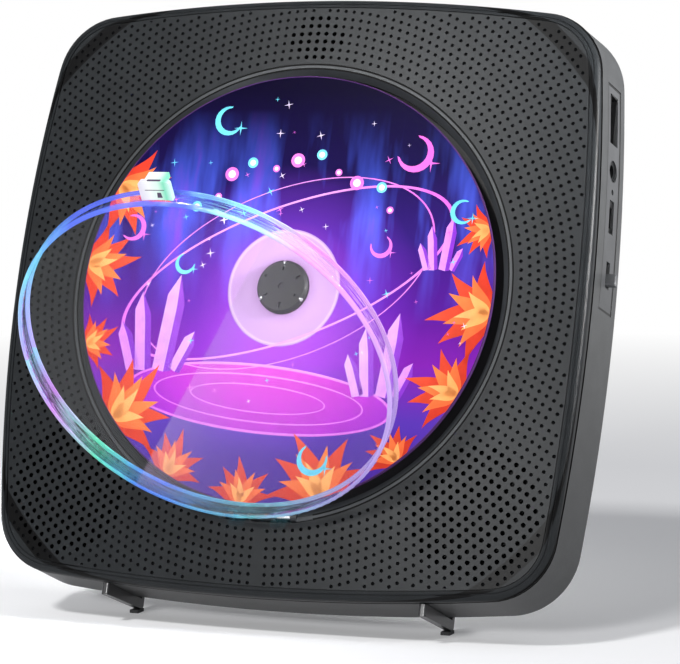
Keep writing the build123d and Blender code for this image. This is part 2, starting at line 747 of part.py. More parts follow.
claw_places = [radians(90 + step * 360 / claws) for step in range(claws)]
claw_w = disc_front + claw_lift
claw_reach = hub_radius - claw_radius
with BuildPart() as spindle_hub:
    with Locations(spot(0, 0, table_top)):
        Cylinder(hub_radius, hub_top - table_top, align=MIN_END)
    chamfer(spindle_hub.faces().sort_by(OUT)[-1].edges(), hub_edge)
    with BuildSketch(FACE.offset(hub_top)):
        with PolarLocations(hub_radius - hub_edge - hub_slot_length, hub_slots, start_angle=30):
            Rectangle(hub_slot_length, hub_slot_width)
    extrude(amount=-hub_rise / 2, mode=Mode.SUBTRACT)
    with Locations(spot(0, 0, hub_top)):
        Cylinder(shaft_radius, shaft_end, align=MAX_END, mode=Mode.SUBTRACT)
    with Locations([spot(claw_reach * cos(turn), claw_reach * sin(turn), claw_w) for turn in claw_places]):
        Sphere(claw_radius, mode=Mode.SUBTRACT)
save(spindle_hub.part, "spindle_hub")

with BuildPart() as hub_balls:
    with Locations([spot(claw_reach * cos(turn), claw_reach * sin(turn), claw_w) for turn in claw_places]):
        Sphere(claw_radius)
save(hub_balls.part, "hub_balls")

with BuildPart() as motor_shaft:
    with Locations(spot(0, 0, table_top)):
        Cylinder(shaft_radius, table_top - motor_back - shaft_end - seat_gap, align=MAX_END)
save(motor_shaft.part, "motor_shaft")

with BuildPart() as spindle_motor:
    with Locations(spot(0, 0, chassis_back)):
        Cylinder(motor_radius, motor_height, align=MAX_END)
    chamfer(spindle_motor.faces().sort_by(OUT)[0].edges(), can_edge)
    with Locations(spot(0, 0, motor_back + shaft_end)):
        Cylinder(shaft_radius + running_gap, motor_height, align=MIN_END, mode=Mode.SUBTRACT)
save(spindle_motor.part, "spindle_motor")

# ---- pick-up deck ----
rod_w = chassis_back - rod_drop
screw_w = chassis_back - screw_drop
bracket_right = -(motor_radius + can_edge)
bracket_left = -chassis_left + bracket_thickness
sled_right = bracket_right - bracket_thickness - 2 * part_gap
chassis_mid = chassis_back + chassis_thickness / 2
chassis_slot_half = turret_base_radius + 1
chassis_slot_low = lens_rest - chassis_slot_half
chassis_slot_high = lens_rest + sled_travel + chassis_slot_half
bracket_ends = [bracket_right, bracket_left]

with BuildPart() as deck_chassis:
    with BuildSketch(FACE.offset(chassis_back)):
        with Locations(((chassis_right - chassis_left) / 2, 0)):
            RectangleRounded(chassis_left + chassis_right, 2 * chassis_half_height, chassis_corner)
        with Locations(post_places):
            Circle(grommet_radius - grommet_groove, mode=Mode.SUBTRACT)
        with Locations((-(chassis_slot_low + chassis_slot_high) / 2, 0)):
            SlotOverall(chassis_slot_high - chassis_slot_low, 2 * chassis_slot_half, mode=Mode.SUBTRACT)
        Circle(spindle_boss_radius, mode=Mode.SUBTRACT)
    extrude(amount=chassis_thickness)
    with Locations([spot(end - bracket_thickness / 2, side * rod_v, rod_w)
                    for end in bracket_ends for side in (-1, 1)]):
        Cylinder(2 * rod_radius, bracket_thickness, rotation=X_TURN)
        Box(bracket_thickness, 4 * rod_radius, rod_drop, align=MIN_END)
    with Locations([spot(end - bracket_thickness / 2, screw_v, screw_w) for end in bracket_ends]):
        Cylinder(2 * screw_radius, bracket_thickness, rotation=X_TURN)
        Box(bracket_thickness, 4 * screw_radius, screw_drop, align=MIN_END)
    with Locations([spot(0, side * rod_v, rod_w) for side in (-1, 1)]):
        Cylinder(rod_radius, 2 * chassis_left, rotation=X_TURN, mode=Mode.SUBTRACT)
    with Locations(spot(0, screw_v, screw_w)):
        Cylinder(screw_radius + running_gap, 2 * chassis_left, rotation=X_TURN, mode=Mode.SUBTRACT)
save(deck_chassis.part, "deck_chassis")

rod_length = chassis_left + bracket_right
with BuildPart() as guide_rods:
    with Locations([spot(bracket_right - rod_length / 2, side * rod_v, rod_w) for side in (-1, 1)]):
        Cylinder(rod_radius, rod_length, rotation=X_TURN)
    chamfer(guide_rods.edges().filter_by(GeomType.CIRCLE), rod_edge)
save(guide_rods.part, "guide_rods")

sled_front = chassis_back - part_gap
with BuildPart() as pickup_sled:
    with Locations(spot(sled_right - sled_length / 2, 0, sled_front)):
        Box(sled_length, 2 * sled_half_height, sled_thickness, align=MAX_END)
    fillet(pickup_sled.edges().filter_by(Axis((0, 0, 0), FACE.z_dir)), sled_corner)
    with Locations(spot(-lens_rest, 0, sled_front)):
        Cylinder(turret_base_radius, chassis_drop, align=MIN_END)
        Cylinder(turret_radius, lens_base - sled_front, align=MIN_END)
    with Locations(spot(sled_right - sled_length / 2, screw_v, sled_front - sled_thickness)):
        Box(nut_length, 4 * screw_radius, screw_drop - sled_thickness + nut_below, align=MAX_END)
    with Locations([spot(-lens_rest, side * rod_v, rod_w) for side in (-1, 1)]):
        Cylinder(rod_radius + running_gap, 2 * sled_length, rotation=X_TURN, mode=Mode.SUBTRACT)
    with Locations(spot(-lens_rest, screw_v, screw_w)):
        Cylinder(screw_radius + running_gap, 2 * sled_length, rotation=X_TURN, mode=Mode.SUBTRACT)
    with Locations(spot(-lens_rest, 0, lens_base)):
        Cylinder(lens_radius, lens_seat, align=MAX_END, mode=Mode.SUBTRACT)
save(pickup_sled.part, "pickup_sled")

with BuildPart() as pickup_lens:
    with Locations(spot(-lens_rest, 0, lens_base - lens_seat)):
        Cylinder(lens_radius, lens_seat, align=MIN_END)
    with Locations(spot(-lens_rest, 0, lens_base)):
        Cylinder(lens_radius - lens_step, lens_rise, align=MIN_END)
    chamfer(pickup_lens.faces().sort_by(OUT)[-1].edges(), lens_step / 2)
save(pickup_lens.part, "pickup_lens")

screw_start = -(chassis_left + screw_overhang)
with BuildPart() as lead_screw:
    with Locations(spot((screw_start + bracket_right) / 2, screw_v, screw_w)):
        Cylinder(screw_radius, bracket_right - screw_start, rotation=X_TURN)
    chamfer(lead_screw.edges().filter_by(GeomType.CIRCLE), rod_edge)
save(lead_screw.part, "lead_screw")

with BuildPart() as sled_motor:
    with Locations(spot(-chassis_left - sled_motor_length / 2, screw_v, screw_w)):
        Cylinder(sled_motor_radius, sled_motor_length, rotation=X_TURN)
    with Locations(spot(-chassis_left, screw_v, screw_w)):
        Cylinder(screw_radius + running_gap, 2 * (screw_overhang + seat_gap), rotation=X_TURN,
                 mode=Mode.SUBTRACT)
save(sled_motor.part, "sled_motor")

with BuildPart() as damper_grommets:
    with Locations([spot(u, v, chassis_mid) for u, v in post_places]):
        Cylinder(grommet_radius, grommet_height)
    with Locations([spot(u, v, chassis_mid) for u, v in post_places]):
        Cylinder(grommet_radius, chassis_thickness, mode=Mode.SUBTRACT)
    with Locations([spot(u, v, chassis_mid) for u, v in post_places]):
        Cylinder(grommet_radius - grommet_groove, chassis_thickness)
    with Locations([spot(u, v, chassis_mid) for u, v in post_places]):
        Cylinder(post_radius, 2 * grommet_height, mode=Mode.SUBTRACT)
save(damper_grommets.part, "damper_grommets")

with BuildPart() as deck_screws:
    with Locations([spot(u, v, tray_back - post_length) for u, v in post_places]):
        Cylinder(post_radius + 1, screw_head_height, align=MAX_END)
        Cylinder(small_screw_radius, deck_screw_length, align=MIN_END)
save(deck_screws.part, "deck_screws")

# ---- speakers ----
for side, word in ((-1, "left"), (1, "right")):
    middle = (side * grille_u, grille_v)
    ears = [(side * grille_u, grille_v + speaker_ear_reach),
            (side * (grille_u - speaker_ear_reach), grille_v)]
    with BuildPart() as frame:
        with BuildSketch(FACE.offset(-speaker_front)):
            with Locations(middle):
                Circle(speaker_radius)
            with Locations(ears):
                Circle(speaker_ear_radius)
                Rectangle(2 * speaker_ear_radius, 2 * speaker_ear_radius)
            with Locations(ears):
                Circle(small_screw_radius + seat_gap, mode=Mode.SUBTRACT)
        extrude(amount=-speaker_flange)
        with Locations(spot(*middle, -speaker_front - speaker_flange)):
            Cone(basket_back_radius, cone_radius + basket_wall, basket_depth - speaker_flange, align=MAX_END)
        with Locations(spot(*middle, -speaker_front)):
            Cylinder(cone_radius, speaker_flange, align=MAX_END, mode=Mode.SUBTRACT)
        with Locations(spot(*middle, -speaker_front - speaker_flange)):
            Cone(basket_back_radius - 1, cone_radius, basket_depth - 2 * speaker_flange, align=MAX_END,
                 mode=Mode.SUBTRACT)
    save(frame.part, f"speaker_frame_{word}")

    with BuildPart() as cone:
        with Locations(spot(*middle, -speaker_front)):
            Cone(dust_cap_radius, cone_radius - seat_gap, cone_depth, align=MAX_END)
        with Locations(spot(*middle, -speaker_front + cone_thickness)):
            Cone(dust_cap_radius, cone_radius - seat_gap, cone_depth, align=MAX_END, mode=Mode.SUBTRACT)
        with Locations(spot(*middle, -speaker_front - cone_depth)):
            Sphere(dust_cap_radius, arc_size1=0, align=MIN_END)
            Sphere(dust_cap_radius - cone_thickness, arc_size1=0, align=MIN_END, mode=Mode.SUBTRACT)
    save(cone.part, f"speaker_cone_{word}")

    with BuildPart() as magnet:
        with Locations(spot(*middle, -speaker_front - basket_depth)):
            Cylinder(magnet_radius, magnet_height, align=MAX_END)
        chamfer(magnet.edges().filter_by(GeomType.CIRCLE), magnet_edge)
    save(magnet.part, f"speaker_magnet_{word}")

with BuildPart() as speaker_gaskets:
    with BuildSketch(FACE.offset(-speaker_front)):
        with Locations([(side * grille_u, grille_v) for side in (-1, 1)]):
            Circle(speaker_radius)
        with Locations([(side * grille_u, grille_v) for side in (-1, 1)]):
            Circle(cone_radius + 1, mode=Mode.SUBTRACT)
        with Locations(speaker_ears):
            Circle(speaker_ear_radius + seat_gap, mode=Mode.SUBTRACT)
    extrude(amount=2 * speaker_front)
    add(cover_core.part, mode=Mode.INTERSECT)
    with Locations(spot(0, 0, 0)):
        Cylinder(tray_radius + seat_gap, 2 * speaker_front, mode=Mode.SUBTRACT)
save(speaker_gaskets.part, "speaker_gaskets")

with BuildPart() as speaker_screws:
    with Locations([spot(u, v, -speaker_front - speaker_flange) for u, v in speaker_ears]):
        Cylinder(2 * small_screw_radius, screw_head_height, align=MAX_END)
        Cylinder(small_screw_radius, speaker_flange + screw_bite, align=MIN_END)
save(speaker_screws.part, "speaker_screws")

# ---- sockets and switch in the right side ----


def port_u(v):
    """Where a socket's mouth sits, just behind the recessed panel."""
    return half_width_at(v, port_w) - panel_recess - seat_gap


with BuildPart() as io_panel:
    add(casing_slab(parting_w, -body_depth, seat_gap))
    add(side_recess.part, mode=Mode.INTERSECT)
    with Locations(spot(side_u, usb_v, port_w)):
        Box(4 * wall, usb_width + 2 * seat_gap, usb_height + 2 * seat_gap, mode=Mode.SUBTRACT)
    with Locations(spot(side_u, charge_v, port_w)):
        Box(4 * wall, charge_width + 2 * seat_gap, charge_height + 2 * seat_gap, mode=Mode.SUBTRACT)
    with Locations(spot(side_u, switch_v, port_w)):
        Box(4 * wall, switch_slot_length, switch_slot_width, mode=Mode.SUBTRACT)
    with Locations(spot(side_u, jack_v, port_w)):
        Cylinder(jack_collar_radius + seat_gap, 4 * wall, rotation=X_TURN, mode=Mode.SUBTRACT)
    with Locations(spot(side_u, lamp_v, port_w)):
        Cylinder(lamp_radius, 4 * wall, rotation=X_TURN, mode=Mode.SUBTRACT)
save(io_panel.part, "io_panel")

usb_mouth = port_u(usb_v)
with BuildPart() as usb_port:
    with Locations(spot(usb_mouth - usb_length / 2, usb_v, port_w)):
        Box(usb_length, usb_width, usb_height)
        Box(usb_length - 2 * shell_wall, usb_width - 2 * shell_wall, usb_height - 2 * shell_wall,
            mode=Mode.SUBTRACT)
    with Locations(spot(usb_mouth, usb_v, port_w)):
        Box(4 * shell_wall, usb_width - 2 * shell_wall, usb_height - 2 * shell_wall, mode=Mode.SUBTRACT)
    with Locations(spot(usb_mouth - usb_length / 2 - usb_tongue_back, usb_v, port_w + usb_tongue_rise)):
        Box(usb_length - 2 * usb_tongue_back, usb_tongue_width, usb_tongue_thickness)
save(usb_port.part, "usb_port")

charge_mouth = port_u(charge_v)
with BuildPart() as charge_port:
    with Locations(spot(charge_mouth - charge_length / 2, charge_v, port_w)):
        Box(charge_length, charge_width, charge_height)
    fillet(charge_port.edges().filter_by(Axis.X), charge_height / 2 - seat_gap)
    with Locations(spot(charge_mouth, charge_v, port_w)):
        Box(2 * (charge_length - charge_height), charge_width - charge_height, charge_height - 2 * shell_wall,
            mode=Mode.SUBTRACT)
    with Locations(spot(charge_mouth - charge_length / 2 - shell_wall, charge_v, port_w)):
        Box(charge_length - 4 * shell_wall, charge_width - charge_height - 2 * shell_wall, 2 * shell_wall)
    with Locations(spot(charge_mouth - charge_length / 2, charge_v, port_w - charge_height / 2)):
        Box(charge_length - charge_height, charge_width / 2, port_w - charge_height / 2 - board_front,
            align=MAX_END)
save(charge_port.part, "charge_port")

jack_mouth = port_u(jack_v)
jack_half = port_w - board_front
with BuildPart() as headphone_jack:
    with Locations(spot(jack_mouth - jack_collar - (jack_length - jack_collar) / 2, jack_v, port_w)):
        Box(jack_length - jack_collar, 2 * jack_half, 2 * jack_half)
    with Locations(spot(jack_mouth - jack_collar, jack_v, port_w)):
        Cylinder(jack_collar_radius, 2 * jack_collar, rotation=X_TURN)
    with Locations(spot(jack_mouth, jack_v, port_w)):
        Cylinder(jack_bore_radius, 2 * jack_length - 2, rotation=X_TURN, mode=Mode.SUBTRACT)
save(headphone_jack.part, "headphone_jack")

lamp_mouth = port_u(lamp_v)
with BuildPart() as status_lamp:
    with Locations(spot(lamp_mouth - wall, lamp_v, port_w)):
        Cylinder(lamp_radius, 2 * wall, rotation=X_TURN)
    with Locations(spot(lamp_mouth - 2 * wall, lamp_v, board_front)):
        Box(2 * lamp_radius, 2 * lamp_radius, port_w - board_front + lamp_radius, align=MIN_END)
save(status_lamp.part, "status_lamp")

switch_mouth = half_width_at(switch_v, port_w) - wall - part_gap
knob_rest = switch_v - switch_travel / 2
with BuildPart() as switch_body:
    with Locations(spot(switch_mouth - switch_block / 2, switch_v, board_front)):
        Box(switch_block, switch_slot_length + 2 * shell_wall + 1, 2 * jack_half, align=MIN_END)
    with Locations(spot(switch_mouth, switch_v, port_w)):
        Box(switch_block, switch_travel + switch_knob_length + 2 * part_gap, switch_slot_width,
            mode=Mode.SUBTRACT)
save(switch_body.part, "switch_body")

with BuildPart() as switch_knob:
    with Locations(spot(switch_mouth + knob_stick_out / 2, knob_rest, port_w)):
        Box(knob_stick_out + switch_block - 2 * part_gap, switch_knob_length,
            switch_slot_width - 2 * part_gap)
    outer_end = switch_knob.faces().sort_by(Axis.X)[-1]
    fillet(outer_end.edges(), key_edge_radius)
save(switch_knob.part, "switch_knob")

# ---- main board, chips and battery ----
board_right = half_width_at(board_top, port_w) - wall - part_gap
with BuildPart() as main_board:
    with Locations(spot((board_left + board_right) / 2, (board_top + board_bottom) / 2, board_front)):
        Box(board_right - board_left, board_top - board_bottom, board_thickness, align=MAX_END)
    with Locations([spot(u, v, board_front) for u, v in board_posts]):
        Cylinder(small_screw_radius + seat_gap, 4 * board_thickness, mode=Mode.SUBTRACT)
save(main_board.part, "main_board")

with BuildPart() as board_chips:
    with Locations(spot(processor_u, processor_v, board_front)):
        Box(processor_size, processor_size, processor_height, align=MIN_END)
    with Locations(spot(processor_u, amplifier_v, board_front)):
        Box(amplifier_size, amplifier_size, processor_height, align=MIN_END)
    with Locations([spot(coil_u, amplifier_v + step * coil_pitch, board_front)
                    for step in range(coil_count)]):
        Box(coil_size, coil_size, coil_height, align=MIN_END)
save(board_chips.part, "board_chips")

with BuildPart() as board_screws:
    with Locations([spot(u, v, board_front) for u, v in board_posts]):
        Cylinder(2 * small_screw_radius, screw_head_height, align=MIN_END)
        Cylinder(small_screw_radius, board_screw_length, align=MAX_END)
save(board_screws.part, "board_screws")

with BuildPart() as battery_pack:
    with Locations(spot(battery_u, battery_v, cavity_back)):
        Box(battery_width, battery_height, battery_thickness, align=MIN_END)
    fillet(battery_pack.edges().filter_by(RISE), battery_corner)
save(battery_pack.part, "battery_pack")

# ---- keys on the top edge ----
key_names = ["key_volume_down", "key_previous", "key_play", "key_next", "key_volume_up"]
flange_top = key_wall_low - 2 * key_gap
for u, name in zip(key_places, key_names):
    cap_top = half_height_at(u, port_w) + key_rise
    with BuildPart() as key:
        with Locations(spot(u, (cap_top + flange_top - key_flange) / 2, port_w)):
            Box(key_length, cap_top - flange_top + key_flange, key_depth)
        fillet(key.edges().filter_by(RISE), key_corner_radius)
        fillet(key.faces().sort_by(RISE)[-1].edges(), key_edge_radius)
        with Locations(spot(u, flange_top - key_flange / 2, port_w)):
            Box(key_length + 2 * key_flange, key_flange, key_depth + 2 * key_flange)
        with Locations(spot(u, flange_top - key_flange - key_stem_length / 2, port_w)):
            Cylinder(key_stem_radius, key_stem_length, rotation=V_TURN)
    save(key.part, name)

key_board_deep = port_w + key_board_reach - cavity_back
with BuildPart() as key_board:
    with Locations(spot(0, key_board_top - key_board_thickness / 2, cavity_back)):
        Box(2 * (rib_u + rib_thickness), key_board_thickness, key_board_deep, align=MIN_END)
    with Locations([spot(u, key_board_top + tact_height / 2, port_w) for u in key_places]):
        Cylinder(2 * key_stem_radius, tact_height, rotation=V_TURN)
save(key_board.part, "key_board")

# ---- remote receiver behind the small hole field ----
with BuildPart() as ir_window:
    with Locations(spot(0, window_v, -window_back)):
        Box(window_width, window_height, window_back, align=MIN_END)
    add(cover_core.part, mode=Mode.INTERSECT)
save(ir_window.part, "ir_window")

with BuildPart() as ir_board:
    with Locations(spot(0, window_v, -window_back)):
        Cylinder(receiver_radius, receiver_height, align=MAX_END)
        Box(receiver_width, receiver_width, receiver_height - wall / 2, align=MAX_END)
    with Locations(spot(0, window_v, -window_back - receiver_height)):
        Box(window_width - wall, window_height - wall, ir_board_thickness, align=MAX_END)
save(ir_board.part, "ir_board")

# ---- desk stand ----
under = half_height_at(arm_u, parting_w) + stand_gap
under_back = half_height_at(arm_u, -body_depth) + stand_gap
with BuildPart() as stand_frame:
    for side in (-1, 1):
        with BuildSketch(side_plane(side * arm_u - arm_thickness / 2)) as plate:
            with BuildLine():
                Polyline((arm_low + arm_taper, arm_front), (-under, arm_front), (-under, parting_w),
                         (-under_back, -body_depth - stand_gap),
                         (upright_top, -body_depth - stand_gap), (upright_top, arm_back), (arm_low, arm_back),
                         close=True)
            make_face()
            fillet(plate.vertices().sort_by(RISE)[:2], arm_corner_radius)
        extrude(amount=arm_thickness)
    front_edges = stand_frame.edges().filter_by(RISE).sort_by(OUT)[-4:]
    fillet(front_edges, arm_front_radius)
    panel_middle = (stand_panel_top + stand_panel_bottom) / 2
    with Locations(spot(0, panel_middle, -body_depth - stand_gap)):
        Box(2 * arm_u, stand_panel_top - stand_panel_bottom, stand_panel_thickness, align=MAX_END)
    for side in (-1, 1):
        with Locations(spot(side * (leg_width / 2 + part_gap + lug_thickness / 2), leg_hinge_v,
                            -body_depth - stand_gap - stand_panel_thickness)):
            Box(lug_thickness, 2 * leg_barrel_radius, part_gap + leg_barrel_radius, align=MAX_END)
        with Locations(spot(side * (leg_width / 2 + part_gap + lug_thickness / 2), leg_hinge_v, leg_hinge_w)):
            Cylinder(leg_barrel_radius, lug_thickness, rotation=X_TURN)
            Cylinder(leg_pin_radius, 2 * lug_thickness, rotation=X_TURN, mode=Mode.SUBTRACT)
save(stand_frame.part, "stand_frame")

with BuildPart() as leg_pin:
    with Locations(spot(0, leg_hinge_v, leg_hinge_w)):
        Cylinder(leg_pin_radius, leg_width + 2 * part_gap + 2 * lug_thickness, rotation=X_TURN)
    chamfer(leg_pin.edges().filter_by(GeomType.CIRCLE), rod_edge)
save(leg_pin.part, "leg_pin")

arm_heel_y = FACE.origin.Y + depth_of(arm_low, arm_back)
with BuildPart() as stand_boots:
    with Locations([(side * arm_u, arm_heel_y - boot_length / 2 + boot_wall, 0) for side in (-1, 1)]):
        Box(arm_thickness + 2 * boot_wall, boot_length, boot_height + boot_sole, align=MIN_END)
    fillet(stand_boots.edges().filter_by(Axis.Z), boot_wall / 2)
    add(stand_frame.part, mode=Mode.SUBTRACT)
save(stand_boots.part, "stand_boots")

# the leg's own frame: x across, y from the foot towards the hinge, z out of its back
LEG = Plane(origin=spot(0, leg_hinge_v, leg_hinge_w).position, x_dir=(1, 0, 0),
            z_dir=(0, -cos(leg_angle), -sin(leg_angle)))
with BuildPart() as stand_leg:
    with BuildSketch(LEG.offset(-leg_thickness / 2)):
        with BuildLine():
            Polyline((-leg_width / 2, 0), (leg_width / 2, 0), (leg_foot_width / 2, -leg_length),
                     (-leg_foot_width / 2, -leg_length), close=True)
        make_face()
        with BuildLine():
            Polyline((-leg_foot_width / 3, -leg_cut_end), (leg_foot_width / 3, -leg_cut_end),
                     (leg_foot_width / 4, leg_cut_end - leg_length),
                     (-leg_foot_width / 4, leg_cut_end - leg_length),
                     close=True)
        make_face(mode=Mode.SUBTRACT)
    extrude(amount=leg_thickness)
    with Locations(spot(0, leg_hinge_v, leg_hinge_w)):
        Cylinder(leg_barrel_radius, leg_width, rotation=X_TURN)
        Cylinder(leg_pin_radius + running_gap, 2 * leg_width, rotation=X_TURN, mode=Mode.SUBTRACT)
    with Locations((0, 0, foot_pad_height)):
        Box(2 * leg_width, 2 * leg_width, 2 * foot_pad_height, align=MAX_END, mode=Mode.SUBTRACT)
save(stand_leg.part, "stand_leg")

with BuildPart() as leg_foot_pad:
    Box(leg_foot_width, foot_pad_length, 2 * foot_pad_height, align=MIN_END)
    fillet(leg_foot_pad.edges().filter_by(Axis.Z), foot_corner)
    add(stand_leg.part, mode=Mode.SUBTRACT)
save(leg_foot_pad.part, "leg_foot_pad")
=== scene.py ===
import random
from math import atan2, cos, hypot, pi, radians, sin, sqrt

import bpy
from mathutils import Euler, Matrix, Vector
from mathutils.geometry import delaunay_2d_cdt


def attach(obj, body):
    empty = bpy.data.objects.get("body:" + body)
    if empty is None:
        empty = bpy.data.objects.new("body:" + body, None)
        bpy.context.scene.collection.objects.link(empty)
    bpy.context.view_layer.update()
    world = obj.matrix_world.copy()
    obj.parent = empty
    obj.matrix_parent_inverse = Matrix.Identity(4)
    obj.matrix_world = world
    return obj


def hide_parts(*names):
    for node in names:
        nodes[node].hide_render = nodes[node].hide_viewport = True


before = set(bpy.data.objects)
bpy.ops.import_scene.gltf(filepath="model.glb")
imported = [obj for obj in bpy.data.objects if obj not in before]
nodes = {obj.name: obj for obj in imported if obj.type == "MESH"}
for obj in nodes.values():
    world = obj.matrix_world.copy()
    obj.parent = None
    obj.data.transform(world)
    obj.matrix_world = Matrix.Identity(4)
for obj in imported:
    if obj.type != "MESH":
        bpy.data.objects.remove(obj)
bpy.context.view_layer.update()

# The player's own frame, in millimetres: u to the right, v up the front, w out of it.
LEAN = radians(17.5)
ORIGIN = Vector((0.0, -59.6872, 91.8622))
RIGHT = Vector((1, 0, 0))
UP = Vector((0, sin(LEAN), cos(LEAN)))
OUT = Vector((0, -cos(LEAN), sin(LEAN)))

# The casing: a bowed square whose front is a shallow dome, level with w = 0 at DOME_FOOT
# from the middle, with a round well for the disc.
BODY_HALF_U, BODY_HALF_V = 84.4, 83.9
BULGE, CORNER = 5.0, 18.0
COVER_BACK = -6.2
WELL, WELL_FLOOR = 64.5, -2.0
DOME, DOME_FOOT = 740.0, 65.7
DOME_BASE = -sqrt(DOME**2 - DOME_FOOT**2)

# The side panel's middle and half sizes along v and w.
PANEL_V, PANEL_W = 31.5, -17.0
PANEL_HALF_V, PANEL_HALF_W = 31.5, 5.2

# The lid's own frame, open as at rest: a across, b from the hinge towards the tab, c outwards.
LID_OPEN = radians(49.5)
LID_TILT = LEAN - LID_OPEN
HINGE = ORIGIN + UP * -62.2 + OUT * -1.6
LID_B = Vector((0, sin(LID_TILT), cos(LID_TILT)))
LID_C = Vector((0, -cos(LID_TILT), sin(LID_TILT)))
LID_ARM, LID_RADIUS, LID_FACE, LID_SKIRT = 58.5, 50.8, 10.8, 5.7
LID_MIDDLE = HINGE + LID_B * LID_ARM

# The disc: its radius, its front, and the ring of it that is printed.
DISC_RADIUS, DISC_FRONT = 60.0, 2.8
PRINT_IN, PRINT_OUT = 16.4, 59.7


def spot(u, v, w):
    """Row-frame place, in metres, of a point of the player's frame."""
    return (ORIGIN + Vector((u, 0, 0)) + UP * v + OUT * w) / 1000


def lid_spot(a, b, c):
    """Row-frame place, in metres, of a point of the lid's frame."""
    return (HINGE + Vector((a, 0, 0)) + LID_B * b + LID_C * c) / 1000


def dome_at(u, v):
    """How far out the domed front stands at u, v."""
    return DOME_BASE + sqrt(DOME**2 - u * u - v * v)


# ---------------------------------------------------------------- node helpers
def new_material(name):
    """A material that uses nodes, and its node tree."""
    made = bpy.data.materials.new(name)
    made.use_nodes = True
    return made, made.node_tree


def node_at(tree, kind, **sockets):
    """A node with some of its inputs set by name."""
    node = tree.nodes.new(kind)
    for name, value in sockets.items():
        node.inputs[name].default_value = value
    return node


def maths(tree, operation, *values):
    """A math node with sockets or plain numbers as its inputs; returns its result."""
    node = tree.nodes.new("ShaderNodeMath")
    node.operation = operation
    for socket, value in zip(node.inputs, values):
        if isinstance(value, (int, float)):
            socket.default_value = value
        else:
            tree.links.new(value, socket)
    return node.outputs["Value"]


def ramp_of(tree, value, stops):
    """A colour ramp with the given (place, colour) stops, driven by value."""
    ramp = tree.nodes.new("ShaderNodeValToRGB")
    marks = ramp.color_ramp.elements
    while len(marks) < len(stops):
        marks.new(0.5)
    for mark, (place, colour) in zip(marks, stops):
        mark.position = place
        mark.color = (*colour, 1)
    tree.links.new(value, ramp.inputs["Fac"])
    return ramp.outputs["Color"]


def mixed(tree, blend, factor, first, second):
    """Two colours mixed; factor, first and second are sockets, numbers or colours."""
    mix = tree.nodes.new("ShaderNodeMix")
    mix.data_type = "RGBA"
    mix.blend_type = blend
    for name, value in (("Factor", factor), ("A", first), ("B", second)):
        socket = [s for s in mix.inputs if s.name == name and s.enabled][0]
        if isinstance(value, tuple):
            socket.default_value = (*value, 1)
        elif isinstance(value, (int, float)):
            socket.default_value = value
        else:
            tree.links.new(value, socket)
    return [s for s in mix.outputs if s.enabled][0]


def blended(tree, factor, first, second):
    """Two shaders mixed by a factor."""
    blend = tree.nodes.new("ShaderNodeMixShader")
    tree.links.new(factor, blend.inputs["Fac"])
    tree.links.new(first, blend.inputs[1])
    tree.links.new(second, blend.inputs[2])
    return blend.outputs["Shader"]


def places(tree, start, *directions):
    """Sockets: how far a surface point is from start along each direction, in millimetres."""
    where = tree.nodes.new("ShaderNodeTexCoord")
    found = []
    for direction in directions:
        along = tree.nodes.new("ShaderNodeVectorMath")
        along.operation = "DOT_PRODUCT"
        along.inputs[1].default_value = direction
        tree.links.new(where.outputs["Object"], along.inputs[0])
        found.append(maths(tree, "MULTIPLY_ADD", along.outputs["Value"], 1000.0, -start.dot(direction)))
    return found


def far_of(tree, across, up):
    """Socket: the distance from the middle, from the distances across and up."""
    across_squared = maths(tree, "MULTIPLY", across, across)
    return maths(tree, "SQRT", maths(tree, "MULTIPLY_ADD", up, up, across_squared))


def flowing(tree, across, up, scale, detail=3.0, stretch=(1.0, 1.0)):
    """Noise over the face, drawn out by stretch."""
    place = tree.nodes.new("ShaderNodeCombineXYZ")
    tree.links.new(maths(tree, "MULTIPLY", across, stretch[0]), place.inputs["X"])
    tree.links.new(maths(tree, "MULTIPLY", up, stretch[1]), place.inputs["Y"])
    noise = node_at(tree, "ShaderNodeTexNoise", Scale=scale, Detail=detail, Roughness=0.55)
    tree.links.new(place.outputs["Vector"], noise.inputs["Vector"])
    return noise.outputs["Fac"]


# ---------------------------------------------------------------- materials
COLOUR_SPREAD = 0.12
GLOSS_SPREAD = 0.06
GRAINS_A_CLOUD = 14
COAT_ROUGH = 0.1
INK_SPECULAR = 0.02
SHADOW = (0.0012, 0.0012, 0.0013)


def uneven_gloss(tree, haze, rough):
    """Roughness that strays a little to either side of rough, following haze."""
    gloss = tree.nodes.new("ShaderNodeMapRange")
    gloss.inputs["To Min"].default_value = max(0.02, rough - GLOSS_SPREAD)
    gloss.inputs["To Max"].default_value = min(1.0, rough + GLOSS_SPREAD)
    tree.links.new(haze, gloss.inputs["Value"])
    tree.links.new(gloss.outputs["Result"], tree.nodes["Principled BSDF"].inputs["Roughness"])


